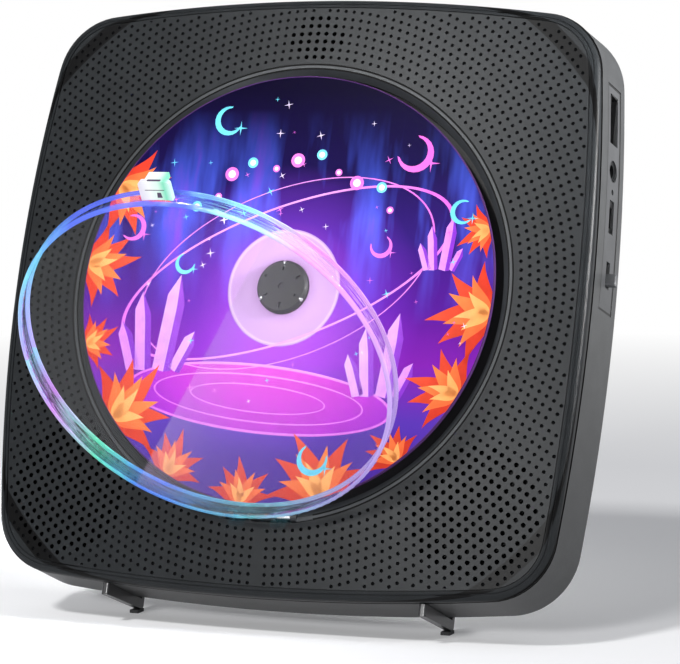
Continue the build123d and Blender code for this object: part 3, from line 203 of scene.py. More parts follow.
def surface(name, colour, rough, grain=900.0, depth=0.00002, metallic=0.0, coat=0.0,
            stretch=(1, 1, 1), specular=0.5):
    """A moulded, brushed or painted surface: colour and gloss that vary a little, and a fine grain."""
    made, tree = new_material(name)
    shader = tree.nodes["Principled BSDF"]
    where = tree.nodes.new("ShaderNodeTexCoord")
    scaled = node_at(tree, "ShaderNodeMapping", Scale=stretch)
    tree.links.new(where.outputs["Object"], scaled.inputs["Vector"])
    cloudy = node_at(tree, "ShaderNodeTexNoise", Scale=grain / GRAINS_A_CLOUD, Detail=4.0, Roughness=0.6)
    fine = node_at(tree, "ShaderNodeTexNoise", Scale=grain, Detail=3.0, Roughness=0.55)
    for noise in (cloudy, fine):
        tree.links.new(scaled.outputs["Vector"], noise.inputs["Vector"])
    darker = [c * (1 - COLOUR_SPREAD) for c in colour]
    lighter = [min(1, c * (1 + COLOUR_SPREAD)) for c in colour]
    paint = ramp_of(tree, cloudy.outputs["Fac"], [(0.3, darker), (0.7, lighter)])
    tree.links.new(paint, shader.inputs["Base Color"])
    uneven_gloss(tree, fine.outputs["Fac"], rough)
    bump = node_at(tree, "ShaderNodeBump", Strength=0.5, Distance=depth)
    tree.links.new(fine.outputs["Fac"], bump.inputs["Height"])
    tree.links.new(bump.outputs["Normal"], shader.inputs["Normal"])
    shader.inputs["Metallic"].default_value = metallic
    shader.inputs["Specular IOR Level"].default_value = specular
    shader.inputs["Coat Weight"].default_value = coat
    shader.inputs["Coat Roughness"].default_value = COAT_ROUGH
    return made


charcoal = surface("charcoal_moulding", (0.0130, 0.0145, 0.0158), 0.38, grain=2600, depth=0.00003,
                   specular=0.12)
# Darker paint for the insides of the holes and dimples: painted shade.
recess_painted_shade = surface("dimple_shade", (0.0028, 0.003, 0.0033), 0.55, grain=2600, specular=0.02)
housing = surface("housing_moulding", (0.034, 0.035, 0.036), 0.42, grain=2600, depth=0.00003,
                  specular=0.3)
ring_grey = surface("ring_moulding", (0.034, 0.037, 0.040), 0.38, grain=1800, depth=0.000006,
                    specular=0.2)
# Flat black for strips laid in grooves and gaps: painted shade.
painted_seam_shade = surface("painted_seam_shade", (0.002, 0.002, 0.002), 0.6, grain=1800, depth=0.000004,
                     specular=0.1)
gloss_black = surface("gloss_black", (0.006, 0.0065, 0.007), 0.35, grain=1200, depth=0.000004,
                      specular=0.25)
matt_black = surface("matt_black", (0.012, 0.012, 0.013), 0.6, grain=1500)
rubber = surface("soft_rubber", (0.018, 0.018, 0.019), 0.75, grain=2000, depth=0.00004)
steel = surface("turned_steel", (0.60, 0.61, 0.63), 0.28, grain=700, depth=0.000004, metallic=1.0,
                stretch=(1, 1, 12))
black_screw = surface("blackened_screws", (0.03, 0.03, 0.032), 0.35, grain=1500, metallic=0.9)
zinc = surface("zinc_screws", (0.30, 0.30, 0.31), 0.4, grain=1500, metallic=1.0)
basket_black = surface("basket_paint", (0.010, 0.010, 0.011), 0.5, grain=1300, depth=0.00001,
                       specular=0.2)
can_steel = surface("motor_can", (0.48, 0.49, 0.51), 0.34, grain=600, metallic=1.0,
                    stretch=(6, 1, 1))
deck_paint = surface("deck_paint", (0.05, 0.05, 0.055), 0.5, grain=1400)
stand_black = surface("stand_black", (0.018, 0.018, 0.019), 0.32, grain=1800, depth=0.00001,
                      coat=0.2)
hub_grey = surface("hub_grey", (0.011, 0.011, 0.0115), 0.5, grain=2200, specular=0.25)
board_green = surface("board_mask", (0.015, 0.10, 0.05), 0.4, grain=800)
battery_wrap = surface("battery_wrap", (0.05, 0.13, 0.30), 0.35, grain=300)
chip_black = surface("chip_epoxy", (0.02, 0.02, 0.02), 0.5, grain=2500)
paper = surface("cone_paper", (0.014, 0.014, 0.014), 0.9, grain=1800, depth=0.0001)
magnet = surface("magnet_steel", (0.2, 0.2, 0.21), 0.45, grain=500, metallic=0.8)
foam = surface("foam", (0.02, 0.02, 0.02), 0.95, grain=1400, depth=0.0003)
shell = surface("socket_shell", (0.006, 0.006, 0.0065), 0.45, grain=900, specular=0.2)
key_grey = surface("key_moulding", (0.055, 0.057, 0.061), 0.4, grain=2600, depth=0.00002)
panel = surface("panel_moulding", (0.034, 0.035, 0.037), 0.5, grain=2600, depth=0.00003)
lamp = surface("lamp_lens", (0.10, 0.12, 0.11), 0.2, grain=600, coat=0.5)
smoked = surface("smoked_lens", (0.012, 0.003, 0.005), 0.1, grain=500, depth=0.000002, coat=0.5)
lens_blue = surface("coated_lens", (0.08, 0.16, 0.40), 0.05, grain=400, depth=0.000001, coat=1.0)


# Painted shadow lines round the casing, on the cover and on the housing, and round the side panel: painted
# shade for the parting gap, the groove in front of it, and the gap round the panel.
SHADOW_LINE_HALF = 0.3
COVER_SHADOW_LINES = (COVER_BACK + 0.3, COVER_BACK + 2.3)
HOUSING_SHADOW_LINE = COVER_BACK - 0.7
PANEL_SHADOW_LINE = 0.7


def darkened(made, inside):
    """Paints shade: turns a material's paint black where inside(tree) gives one."""
    tree = made.node_tree
    paint = tree.nodes["Principled BSDF"].inputs["Base Color"]
    dark = mixed(tree, "MIX", inside(tree), paint.links[0].from_socket, SHADOW)
    tree.links.new(dark, paint)


def painted_shadow_lines(made, *middles):
    """Paints shadow lines of painted shade, the set half width to either side of the given depths."""
    def inside(tree):
        [deep] = places(tree, ORIGIN, OUT)
        total = 0.0
        for middle in middles:
            hit = maths(tree, "COMPARE", deep, middle, SHADOW_LINE_HALF)
            total = maths(tree, "MAXIMUM", total, hit)
        return total
    darkened(made, inside)


def painted_panel_shadow(made):
    """Paints the shade in the gap round the side panel as a dark edge line."""
    def inside(tree):
        up, deep = places(tree, ORIGIN, UP, OUT)
        off_v = maths(tree, "ABSOLUTE", maths(tree, "SUBTRACT", up, PANEL_V))
        off_w = maths(tree, "ABSOLUTE", maths(tree, "SUBTRACT", deep, PANEL_W))
        past_v = maths(tree, "SUBTRACT", off_v, PANEL_HALF_V)
        past_w = maths(tree, "SUBTRACT", off_w, PANEL_HALF_W)
        return maths(tree, "GREATER_THAN", maths(tree, "MAXIMUM", past_v, past_w), -PANEL_SHADOW_LINE)
    darkened(made, inside)


# Painted shade lines on the cover, on the housing and round the side panel.
painted_shadow_lines(charcoal, *COVER_SHADOW_LINES)
painted_shadow_lines(housing, HOUSING_SHADOW_LINE)
painted_panel_shadow(panel)


# ---------------------------------------------------------------- lid materials
REFLECTION_STREAK_LEAN = (0.823, -0.568)
REFLECTION_STREAK_SPAN = 120


def clear_sheet(name, gloss, reflection_streaks):
    """Clear moulding: see-through, with a faint mirror, and soft pale streaks across it that are painted
    reflections.
    """
    made, tree = new_material(name)
    tree.nodes.clear()
    a, b = places(tree, LID_MIDDLE, RIGHT, LID_B)
    through = node_at(tree, "ShaderNodeBsdfTransparent", Color=(1, 1, 1, 1))
    mirror = node_at(tree, "ShaderNodeBsdfGlossy", Color=(1, 1, 1, 1), Roughness=0.04)
    edge = node_at(tree, "ShaderNodeFresnel", IOR=1.3)
    shine = maths(tree, "MULTIPLY", edge.outputs["Fac"], gloss)
    sheet = blended(tree, shine, through.outputs["BSDF"], mirror.outputs["BSDF"])
    # A diagonal pale band that fades towards the tab: a painted reflection streak, laid on as a translucent
    # layer.
    lean_a, lean_b = REFLECTION_STREAK_LEAN
    slant = maths(tree, "MULTIPLY_ADD", a, lean_a, maths(tree, "MULTIPLY", b, lean_b))
    band = ramp_of(tree, maths(tree, "MULTIPLY_ADD", slant, 1 / REFLECTION_STREAK_SPAN, 0.5), [
        (0.492, (0, 0, 0)), (0.496, (1, 1, 1)), (0.60, (0.5, 0.5, 0.5)), (0.82, (0.12, 0.12, 0.12))])
    low = ramp_of(tree, maths(tree, "MULTIPLY_ADD", b, 1 / REFLECTION_STREAK_SPAN, 0.5), [
        (0.35, (1, 1, 1)), (0.80, (0.4, 0.4, 0.4))])
    band = mixed(tree, "MULTIPLY", 1.0, band, low)
    painted_reflection = node_at(tree, "ShaderNodeBsdfTranslucent", Color=(0.9, 0.92, 1, 1))
    haze = maths(tree, "MULTIPLY", band, reflection_streaks)
    out = tree.nodes.new("ShaderNodeOutputMaterial")
    tree.links.new(blended(tree, haze, sheet, painted_reflection.outputs["BSDF"]), out.inputs["Surface"])
    return made


def painted_sheen_rim(name):
    """The lid's moulded rim, painted with a colour that changes all the way round: painted reflected and
    refracted light, with a painted glow.
    """
    made, tree = new_material(name)
    shader = tree.nodes["Principled BSDF"]
    a, b, c = places(tree, LID_MIDDLE, RIGHT, LID_B, LID_C)
    turn = maths(tree, "MULTIPLY_ADD", maths(tree, "ARCTAN2", b, a), 1 / (2 * pi), 0.5)
    wander = maths(tree, "MULTIPLY_ADD", flowing(tree, a, c, 0.09, 3.0, (1.0, 6.0)), 0.10, -0.05)
    paint = ramp_of(tree, maths(tree, "ADD", turn, wander), [
        (0.00, (0.22, 0.55, 0.72)), (0.05, (0.45, 0.18, 0.60)), (0.10, (0.10, 0.60, 0.38)),
        (0.16, (0.05, 0.14, 0.60)), (0.25, (0.10, 0.38, 0.42)), (0.36, (0.30, 0.25, 0.55)),
        (0.50, (0.42, 0.28, 0.60)), (0.62, (0.62, 0.25, 0.62)), (0.68, (0.30, 0.72, 0.66)),
        (0.74, (0.08, 0.12, 0.66)), (0.84, (0.07, 0.12, 0.60)), (0.90, (0.14, 0.50, 0.66)),
        (1.00, (0.36, 0.30, 0.72))])
    tree.links.new(paint, shader.inputs["Base Color"])
    # the painted colours glow a little too: a painted glow, though the rim is no lamp
    tree.links.new(paint, shader.inputs["Emission Color"])
    shader.inputs["Emission Strength"].default_value = 0.25
    shader.inputs["Specular IOR Level"].default_value = 0.4
    shader.inputs["Roughness"].default_value = 0.08
    # painted highlight lines that run round the rim, and painted highlights along its two edges
    lines = ramp_of(tree, flowing(tree, turn, c, 2.6, 1.0, (2.6, 0.24)), [
        (0.42, (0.01, 0.01, 0.01)), (0.46, (0.9, 0.9, 0.9)), (0.475, (0.02, 0.02, 0.02)),
        (0.51, (0.01, 0.01, 0.01)), (0.53, (1, 1, 1)), (0.545, (0.03, 0.03, 0.03)),
        (0.60, (0.01, 0.01, 0.01)), (0.62, (0.9, 0.9, 0.9)), (0.65, (0.01, 0.01, 0.01))])
    depth = maths(tree, "MULTIPLY_ADD", c, 1 / LID_SKIRT, 1 - LID_FACE / LID_SKIRT)
    ends = ramp_of(tree, depth, [
        (0.0, (0.9, 0.9, 0.9)), (0.08, (0.01, 0.01, 0.01)),
        (0.87, (0.01, 0.01, 0.01)), (0.94, (0.8, 0.8, 0.8))])
    # the hinge ears stay nearly clear
    ears = ramp_of(tree, maths(tree, "MULTIPLY_ADD", b, 1 / 100, 0.6), [
        (0.07, (0.02, 0.02, 0.02)), (0.11, (1, 1, 1))])
    cover_up = maths(tree, "MULTIPLY", maths(tree, "MULTIPLY_ADD", lines, 0.6, ends), ears)
    through = node_at(tree, "ShaderNodeBsdfTransparent", Color=(1, 1, 1, 1))
    solid = maths(tree, "MINIMUM", cover_up, 0.92)
    rim = blended(tree, solid, through.outputs["BSDF"], shader.outputs["BSDF"])
    tree.links.new(rim, tree.nodes["Material Output"].inputs["Surface"])
    return made


lid_clear = clear_sheet("lid_clear", gloss=0.22, reflection_streaks=0.11)
lid_rim_painted_sheen = painted_sheen_rim("lid_rim_painted_sheen")


# ---------------------------------------------------------------- inks
HALO_V = -6.0
MOTTLE = 0.15
TAB_WIDTH = 9


def ink(name, paint_from, glow=0.25, rough=0.22):
    """Glossy printed ink whose colour paint_from(tree, u, v) works out from the place on the face, with a
    painted glow of strength glow.
    """
    made, tree = new_material(name)
    shader = tree.nodes["Principled BSDF"]
    across, up = places(tree, ORIGIN, RIGHT, UP)
    paint = paint_from(tree, across, up)
    tree.links.new(paint, shader.inputs["Base Color"])
    tree.links.new(paint, shader.inputs["Emission Color"])
    shader.inputs["Emission Strength"].default_value = glow
    shader.inputs["Specular IOR Level"].default_value = INK_SPECULAR
    uneven_gloss(tree, flowing(tree, across, up, 0.6), rough)
    return made


def night_sky(tree, across, up):
    """Navy at the top, violet and magenta across the middle, violet-blue below, with an aurora."""
    level = maths(tree, "MULTIPLY_ADD", up, 1 / (2 * DISC_RADIUS), 0.5)
    paint = ramp_of(tree, level, [
        (0.03, (0.04, 0.016, 0.18)), (0.20, (0.06, 0.022, 0.25)), (0.33, (0.13, 0.010, 0.24)),
        (0.46, (0.055, 0.007, 0.17)), (0.62, (0.020, 0.007, 0.10)), (0.78, (0.006, 0.003, 0.035)),
        (0.97, (0.002, 0.001, 0.010))])
    curtain = flowing(tree, across, up, 0.07, 4.0, (1.0, 0.16))
    streak = ramp_of(tree, curtain, [
        (0.46, (0, 0, 0)), (0.60, (0.03, 0.06, 0.36)), (0.72, (0.16, 0.04, 0.42))])
    height = ramp_of(tree, level, [(0.42, (0, 0, 0)), (0.66, (1, 1, 1)), (0.92, (0, 0, 0))])
    paint = mixed(tree, "ADD", 1.0, paint, mixed(tree, "MULTIPLY", 1.0, streak, height))
    far = far_of(tree, across, maths(tree, "SUBTRACT", up, HALO_V))
    halo = ramp_of(tree, maths(tree, "MULTIPLY", far, 1 / DISC_RADIUS), [
        (0.2, (0.17, 0.03, 0.28)), (0.42, (0.05, 0.010, 0.13)), (0.68, (0, 0, 0))])
    return mixed(tree, "ADD", 0.9, paint, halo)


def fading(low_colour, high_colour, low_r, high_r):
    """Ink that runs from one colour to another with the distance from the disc's middle."""
    def paint_from(tree, across, up):
        level = tree.nodes.new("ShaderNodeMapRange")
        level.inputs["From Min"].default_value = low_r
        level.inputs["From Max"].default_value = high_r
        tree.links.new(far_of(tree, across, up), level.inputs["Value"])
        paint = ramp_of(tree, level.outputs["Result"], [(0.0, low_colour), (1.0, high_colour)])
        cloud = ramp_of(tree, flowing(tree, across, up, 0.35), [
            (0.3, (1 - MOTTLE,) * 3), (0.7, (1.0, 1.0, 1.0))])
        return mixed(tree, "MULTIPLY", 1.0, paint, cloud)
    return paint_from


def tab_colours(tree, across, _up):
    """The lid's frosted tab: near white on the left, mint green on the right."""
    level = maths(tree, "MULTIPLY_ADD", across, 1 / TAB_WIDTH, 0.5)
    return ramp_of(tree, level, [
        (0.05, (0.50, 0.48, 0.56)), (0.35, (0.60, 0.62, 0.62)), (0.62, (0.48, 0.62, 0.56)),
        (0.80, (0.16, 0.52, 0.36)), (0.95, (0.40, 0.60, 0.55))])


def disc_colours(tree, across, up):
    """The disc itself: a lilac clear centre, a lighter line on the fine moulded step round it, which is a
    painted highlight, and a dark outer edge.
    """
    far = far_of(tree, across, up)
    return ramp_of(tree, maths(tree, "MULTIPLY", far, 1 / DISC_RADIUS), [
        (0.12, (0.36, 0.21, 0.43)), (0.17, (0.44, 0.27, 0.52)), (0.255, (0.41, 0.25, 0.50)),
        (0.262, (0.52, 0.38, 0.58)), (0.272, (0.36, 0.20, 0.45)), (0.29, (0.05, 0.02, 0.08))])


# The tab and the disc also take a painted glow.
frosted = ink("frosted_tab", tab_colours, glow=0.15, rough=0.35)
disc_clear = ink("disc_base", disc_colours, glow=0.14, rough=0.15)

# Every CAD node that stays in sight gets its finished material.
for made, names in (
    (housing, ["rear_housing"]), (ring_grey, ["well_ring"]), (gloss_black, ["headphone_jack"]),
    (matt_black, ["well_tray", "switch_body", "pickup_sled"]),
    (rubber, ["turntable_pad", "damper_grommets", "leg_foot_pad", "stand_boots"]),
    (steel, ["hub_balls", "motor_shaft", "guide_rods", "lead_screw", "lid_pin", "leg_pin"]),
    (zinc, ["deck_screws", "board_screws"]),
    (black_screw, ["tray_screws", "speaker_screws", "housing_screws"]),
    (can_steel, ["spindle_motor", "sled_motor"]),
    (basket_black, ["speaker_frame_left", "speaker_frame_right"]),
    (deck_paint, ["deck_chassis"]), (stand_black, ["stand_frame", "stand_leg"]),
    (hub_grey, ["spindle_hub", "turntable"]), (board_green, ["main_board", "key_board", "ir_board"]),
    (battery_wrap, ["battery_pack"]), (chip_black, ["board_chips"]),
    (paper, ["speaker_cone_left", "speaker_cone_right"]),
    (magnet, ["speaker_magnet_left", "speaker_magnet_right"]), (foam, ["speaker_gaskets"]),
    (shell, ["usb_port", "charge_port"]), (panel, ["io_panel"]), (lamp, ["status_lamp"]),
    (key_grey, ["switch_knob", "key_volume_down", "key_previous", "key_play", "key_next",
                "key_volume_up"]),
    (smoked, ["ir_window"]), (lens_blue, ["pickup_lens"]), (lid_clear, ["lid_window"]),
    (lid_rim_painted_sheen, ["lid_rim"]), (frosted, ["lid_tab"]), (disc_clear, ["compact_disc"]),
):
    for node in names:
        mesh = nodes[node].data
        mesh.materials.clear()
        mesh.materials.append(made)


# ---------------------------------------------------------------- meshes
SIDE_STEPS, CORNER_STEPS = 40, 14
ROUND_SIDES = 240


def build(name, points, faces, made, body, sharp=radians(32), second=None, second_from=0):
    """A mesh object from row-frame points and faces, smooth up to a crease angle.

    Faces from number second_from on take the second material, if one is given.
    """
    mesh = bpy.data.meshes.new(name)
    mesh.from_pydata([tuple(p) for p in points], [], faces)
    mesh.shade_smooth()
    mesh.set_sharp_from_angle(angle=sharp)
    mesh.materials.append(made)
    if second:
        mesh.materials.append(second)
        for face in mesh.polygons[second_from:]:
            face.material_index = 1
    piece = bpy.data.objects.new(name, mesh)
    bpy.context.scene.collection.objects.link(piece)
    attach(piece, body)
    return piece


def outline(inset):
    """The casing's bowed outline pulled in by inset, as points going round anticlockwise."""
    half_u, half_v, round_r = BODY_HALF_U - inset, BODY_HALF_V - inset, CORNER - inset
    corner_u, corner_v = half_u - BULGE, half_v - BULGE
    side_r = (corner_v**2 + BULGE**2) / (2 * BULGE)
    top_r = (corner_u**2 + BULGE**2) / (2 * BULGE)
    side_c = Vector((half_u - side_r, 0))
    top_c = Vector((0, half_v - top_r))
    apart = (top_c - side_c).length
    a, b = side_r - round_r, top_r - round_r
    along = (a * a - b * b + apart * apart) / (2 * apart)
    across = sqrt(a * a - along * along)
    line = (top_c - side_c) / apart
    middle = side_c + line * along + Vector((-line.y, line.x)) * across
    if middle.x < 0 or middle.y < 0:
        middle = side_c + line * along - Vector((-line.y, line.x)) * across
    side_turn = atan2(middle.y, middle.x - side_c.x)
    top_turn = atan2(middle.y - top_c.y, middle.x)
    quarter = []
    for step in range(SIDE_STEPS):
        turn = side_turn * step / SIDE_STEPS
        quarter.append((side_c.x + side_r * cos(turn), side_r * sin(turn)))
    for step in range(CORNER_STEPS):
        turn = side_turn + (top_turn - side_turn) * step / CORNER_STEPS
        quarter.append((middle.x + round_r * cos(turn), middle.y + round_r * sin(turn)))
    for step in range(SIDE_STEPS):
        turn = top_turn + (pi / 2 - top_turn) * step / SIDE_STEPS
        quarter.append((top_r * cos(turn), top_c.y + top_r * sin(turn)))
    ring = list(quarter)
    ring += [(-u, v) for u, v in [(0, half_v)] + quarter[:0:-1]]
    ring += [(-u, -v) for u, v in quarter]
    ring += [(u, -v) for u, v in [(0, half_v)] + quarter[:0:-1]]
    return ring


def circle(u, v, r, count):
    """A flat ring of count points, going round anticlockwise."""
    return [(u + r * cos(2 * pi * i / count), v + r * sin(2 * pi * i / count)) for i in range(count)]


# ---------------------------------------------------------------- front cover
HOLE, HOLE_SIDES, HOLE_DEPTH = 0.66, 12, 1.6
DIMPLE, DIMPLE_SIDES, DIMPLE_FLOOR = 0.52, 10, 0.42
DIMPLE_STEPS = ((0.80, 0.24), (0.42, 0.38))
ROWS, FIRST_ROW, ROW_PITCH, HOLE_PITCH = 20, 1.95, 2.33, 2.43
PLAIN_EDGE = 3.4
# Holes go right through over the infrared window, in short rows, and over the two speakers.
WINDOW_ROWS = (1, 2, 3, 3, 2, 1)
SPEAKER_U, SPEAKER_V, SPEAKER_R = 59, -58, 17.4


def pattern():
    """Every hole and dimple of the front: u, v and whether it goes right through."""
    half_u, half_v, corner = BODY_HALF_U - PLAIN_EDGE, BODY_HALF_V - PLAIN_EDGE, CORNER - PLAIN_EDGE
    for row in range(ROWS):
        radius = WELL + FIRST_ROW + row * ROW_PITCH
        steps = int(pi * radius / HOLE_PITCH)
        for step in range(-steps, steps + 1):
            turn = step * HOLE_PITCH / radius
            u, v = radius * sin(turn), radius * cos(turn)
            reach_u = half_u - BULGE * (v / half_v)**2
            reach_v = half_v - BULGE * (u / half_u)**2
            over_u, over_v = abs(u) - (reach_u - corner), abs(v) - (reach_v - corner)
            if over_u > 0 and over_v > 0:
                inside = hypot(over_u, over_v) < corner
            else:
                inside = abs(u) < reach_u and abs(v) < reach_v
            if inside:
                window = row < len(WINDOW_ROWS) and abs(step) <= WINDOW_ROWS[row]
                speaker = hypot(abs(u) - SPEAKER_U, v - SPEAKER_V) < SPEAKER_R
                yield u, v, window or speaker


flat = []
edges = []
holes = []


def loop(ring):
    """Adds a closed line to the flat drawing of the front; returns its point numbers."""
    start = len(flat)
    flat.extend(Vector(p) for p in ring)
    edges.extend((start + i, start + (i + 1) % len(ring)) for i in range(len(ring)))
    return list(range(start, start + len(ring)))


# Two fine grooves near the face's edge, then the cover's rounded rim: how far in from the
# casing's outline, and how far below the dome.
EDGE_PROFILE = [
    (3.0, 0.0), (2.78, 0.0), (2.74, 0.32), (2.52, 0.34), (2.46, 0.04), (2.2, 0.06),
    (1.8, 0.16), (1.72, 0.42), (1.52, 0.46), (1.46, 0.30), (1.1, 0.40), (0.75, 0.56),
    (0.42, 0.82), (0.18, 1.14), (0.05, 1.45), (0.0, 1.8)]
SKIN_INSET = EDGE_PROFILE[0][0]
BACK_CHAMFER, BACK_LIP = 0.25, 2.2

loop(outline(SKIN_INSET))
loop(circle(0, 0, WELL, ROUND_SIDES))
for u, v, through in pattern():
    r, count = (HOLE, HOLE_SIDES) if through else (DIMPLE, DIMPLE_SIDES)
    holes.append((u, v, through, loop(circle(u, v, r, count))))

verts2, _, faces2, origin, _, _ = delaunay_2d_cdt(flat, edges, [], 1, 1e-6)
taken = {}
for i, old in enumerate(origin):
    for o in old:
        taken[o] = i
hole_of = {}
for number, (u, v, through, ring) in enumerate(holes):
    for i in ring:
        hole_of[taken[i]] = number

# The dome's skin: every triangle but those that fill a hole, a dimple or the well.
ON_WELL = 0.01
points = [spot(p.x, p.y, dome_at(p.x, p.y)) for p in verts2]
faces = []
for face in faces2:
    marks = [hole_of.get(i) for i in face]
    if marks[0] is not None and marks[0] == marks[1] == marks[2]:
        continue
    middle = sum((verts2[i] for i in face), Vector((0, 0))) / 3
    if middle.length < WELL - ON_WELL and all(verts2[i].length < WELL + ON_WELL for i in face):
        continue
    faces.append(tuple(face))


def add_rings(rings):
    """Joins closed rings of points (each a list of row-frame places) with quads."""
    starts = []
    for ring in rings:
        starts.append(len(points))
        points.extend(ring)
    count = len(rings[0])
    for a, b in zip(starts, starts[1:]):
        for i in range(count):
            j = (i + 1) % count
            faces.append((a + i, a + j, b + j, b + i))
    return starts


def on_dome(ring, drop=0.0):
    """Places on the dome, or below it by drop, for a ring of flat points."""
    return [spot(u, v, dome_at(u, v) - drop) for u, v in ring]


rings = []
for inset, drop in EDGE_PROFILE:
    rings.append([spot(u, v, max(COVER_BACK, dome_at(u, v) - drop)) for u, v in outline(inset)])
rings.append([spot(u, v, COVER_BACK + BACK_CHAMFER) for u, v in outline(0.0)])
rings.append([spot(u, v, COVER_BACK) for u, v in outline(BACK_CHAMFER)])
rings.append([spot(u, v, COVER_BACK) for u, v in outline(BACK_LIP)])
add_rings([list(reversed(ring)) for ring in rings])

well_edge = circle(0, 0, WELL, ROUND_SIDES)
add_rings([on_dome(well_edge), [spot(u, v, WELL_FLOOR) for u, v in well_edge]])

# Faces from here on, the insides of the holes and dimples, take the darker painted shade.
recess_from = len(faces)
for u, v, through, ring in holes:
    count = len(ring)
    if through:
        add_rings([on_dome(circle(u, v, HOLE, count)), on_dome(circle(u, v, HOLE, count), HOLE_DEPTH)])
        continue
    rings = [on_dome(circle(u, v, DIMPLE, count))]
    for part, drop in DIMPLE_STEPS:
        rings.append([spot(a, b, dome_at(u, v) - drop) for a, b in circle(u, v, DIMPLE * part, count)])
    last = add_rings(rings)[-1]
    centre = len(points)
    points.append(spot(u, v, dome_at(u, v) - DIMPLE_FLOOR))
    faces.extend((last + i, last + (i + 1) % count, centre) for i in range(count))

cover = build("front_cover_skin", points, faces, charcoal, "player", radians(24), recess_painted_shade, recess_from)
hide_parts("front_cover")


# ---------------------------------------------------------------- painted seam shade and the lid tab's marks
HINGE_TURN, HINGE_OPEN = 1.5 * pi, radians(13)
# name, inner and outer radius, and height of the dark lines on the ring round the well: painted shade in
# its groove and in the gap round it
RING_SHADE_LINES = (("ring_groove_shade", 62.85, 63.35, -0.06), ("ring_gap_shade", 64.02, 64.66, 0.04))
PARTING_SHADE_INSET = 0.4
PARTING_SHADE_DEPTHS = (COVER_BACK - 0.05, COVER_BACK - 0.85)


def strip(name, rings, made, body, open_from=None, open_to=None):
    """A narrow band between rings of places; it may leave a stretch open, given as angles."""
    points = [p for ring in rings for p in ring]
    count = len(rings[0])
    faces = []
    for i in range(count):
        turn = 2 * pi * (i + 0.5) / count
        if open_from is not None and open_from < turn < open_to:
            continue
        j = (i + 1) % count
        faces.extend((k * count + i, k * count + j, (k + 1) * count + j, (k + 1) * count + i)
                     for k in range(len(rings) - 1))
    build(name, points, faces, made, body)


for name, inner, outer, height in RING_SHADE_LINES:
    rings = [[spot(u, v, height) for u, v in circle(0, 0, r, ROUND_SIDES)] for r in (outer, inner)]
    strip(name, rings, painted_seam_shade, "player", HINGE_TURN - HINGE_OPEN, HINGE_TURN + HINGE_OPEN)
# A dark strip in the parting gap between the cover and the housing: painted shade.
parting_shade = [[spot(u, v, w) for u, v in outline(PARTING_SHADE_INSET)] for w in PARTING_SHADE_DEPTHS]
strip("parting_gap_shade", parting_shade, painted_seam_shade, "player")

# On the tab's face a nick and a line, given as a and b, and in its end a slot, given as a and how far below
# the face. All are flat dark sheets; the nick's and the slot's dark is painted shade.
MARK_LIFT = 0.02
TAB_END, TAB_FACE = LID_ARM + LID_RADIUS + 5.2, LID_FACE - 0.9
TAB_NICK = ((0.3, 110.0), (1.7, 110.0), (1.5, 111.5), (0.5, 111.5))
TAB_LINE = ((-2.6, 112.1), (2.6, 112.1), (2.6, 112.3), (-2.6, 112.3))
TAB_SLOT = ((-1.7, 1.3), (1.7, 1.3), (1.9, 0.9), (1.7, 0.5), (-1.7, 0.5), (-1.9, 0.9))
tab_marks = [[lid_spot(a, b, TAB_FACE + MARK_LIFT) for a, b in shape] for shape in (TAB_NICK, TAB_LINE)]
tab_marks.append([lid_spot(a, TAB_END + MARK_LIFT, TAB_FACE - below) for a, below in TAB_SLOT])
tab_slot = surface("tab_slot_shade", (0.05, 0.03, 0.07), 0.4, grain=1500, depth=0.000003)
points, faces = [], []
for ring in tab_marks:
    faces.append(tuple(range(len(points), len(points) + len(ring))))
    points += ring
build("lid_tab_marks", points, faces, tab_slot, "lid")


# ---------------------------------------------------------------- printed disc
LAYER = 0.02
ELLIPSE_SIDES = 96
chance = random.Random(41)


class Ink:
    """Flat printed shapes that share one ink and one height on the disc."""

    def __init__(self, name, made, level):
        self.name, self.made, self.w = name, made, DISC_FRONT + LAYER * level
        self.points, self.faces = [], []

    def shape(self, ring):
        """Adds one closed shape, kept inside the printed part of the disc."""
        start = len(self.points)
        for u, v in ring:
            far = hypot(u, v)
            scale = min(1, PRINT_OUT / far) if far else 1
            if 0 < far < PRINT_IN:
                scale = PRINT_IN / far
            self.points.append(spot(u * scale, v * scale, self.w))
        self.faces.append(tuple(range(start, len(self.points))))

    def band(self, outer, inner):
        """Adds a closed band between two rings with as many points each."""
        start, count = len(self.points), len(outer)
        self.points.extend(spot(u, v, self.w) for u, v in outer + inner)
        for i in range(count):
            j = (i + 1) % count
            self.faces.append((start + i, start + j, start + count + j, start + count + i))

    def done(self):
        build(self.name, self.points, self.faces, self.made, "disc")


def fading_ink(piece, name, low_colour, high_colour, low_r, high_r, level):
    """A printed layer whose ink fades with the distance from the disc's middle."""
    return Ink(piece, ink(name, fading(low_colour, high_colour, low_r, high_r)), level)


def turned(u, v, tilt):
    return u * cos(tilt) - v * sin(tilt), u * sin(tilt) + v * cos(tilt)


def ellipse(u, v, half_u, half_v, tilt):
    ring = []
    for i in range(ELLIPSE_SIDES):
        turn = 2 * pi * i / ELLIPSE_SIDES
        x, y = turned(half_u * cos(turn), half_v * sin(turn), tilt)
        ring.append((u + x, v + y))
    return ring


def hoop(layer, u, v, half_u, half_v, tilt, thick, thin):
    """An elliptical line: thick at its two ends, and thin times that above and below."""
    layer.band(ellipse(u, v, half_u, half_v, tilt),
               ellipse(u, v, half_u - thick, half_v - thick * thin, tilt))


def petal(root, heading, length, width, curl):
    """A pointed petal from its root, with a curled tip."""
    steps = 14
    along = Vector((cos(heading), sin(heading)))
    across = Vector((-along.y, along.x))
    left, right = [], []
    for i in range(steps + 1):
        t = i / steps
        half = width * sin(pi * t**0.62) * (1 - 0.25 * t)
        middle = root + along * length * t + across * curl * length * t * t
        left.append(middle + across * half)
        right.append(middle - across * half)
    return [(p.x, p.y) for p in left + right[-2:0:-1]]


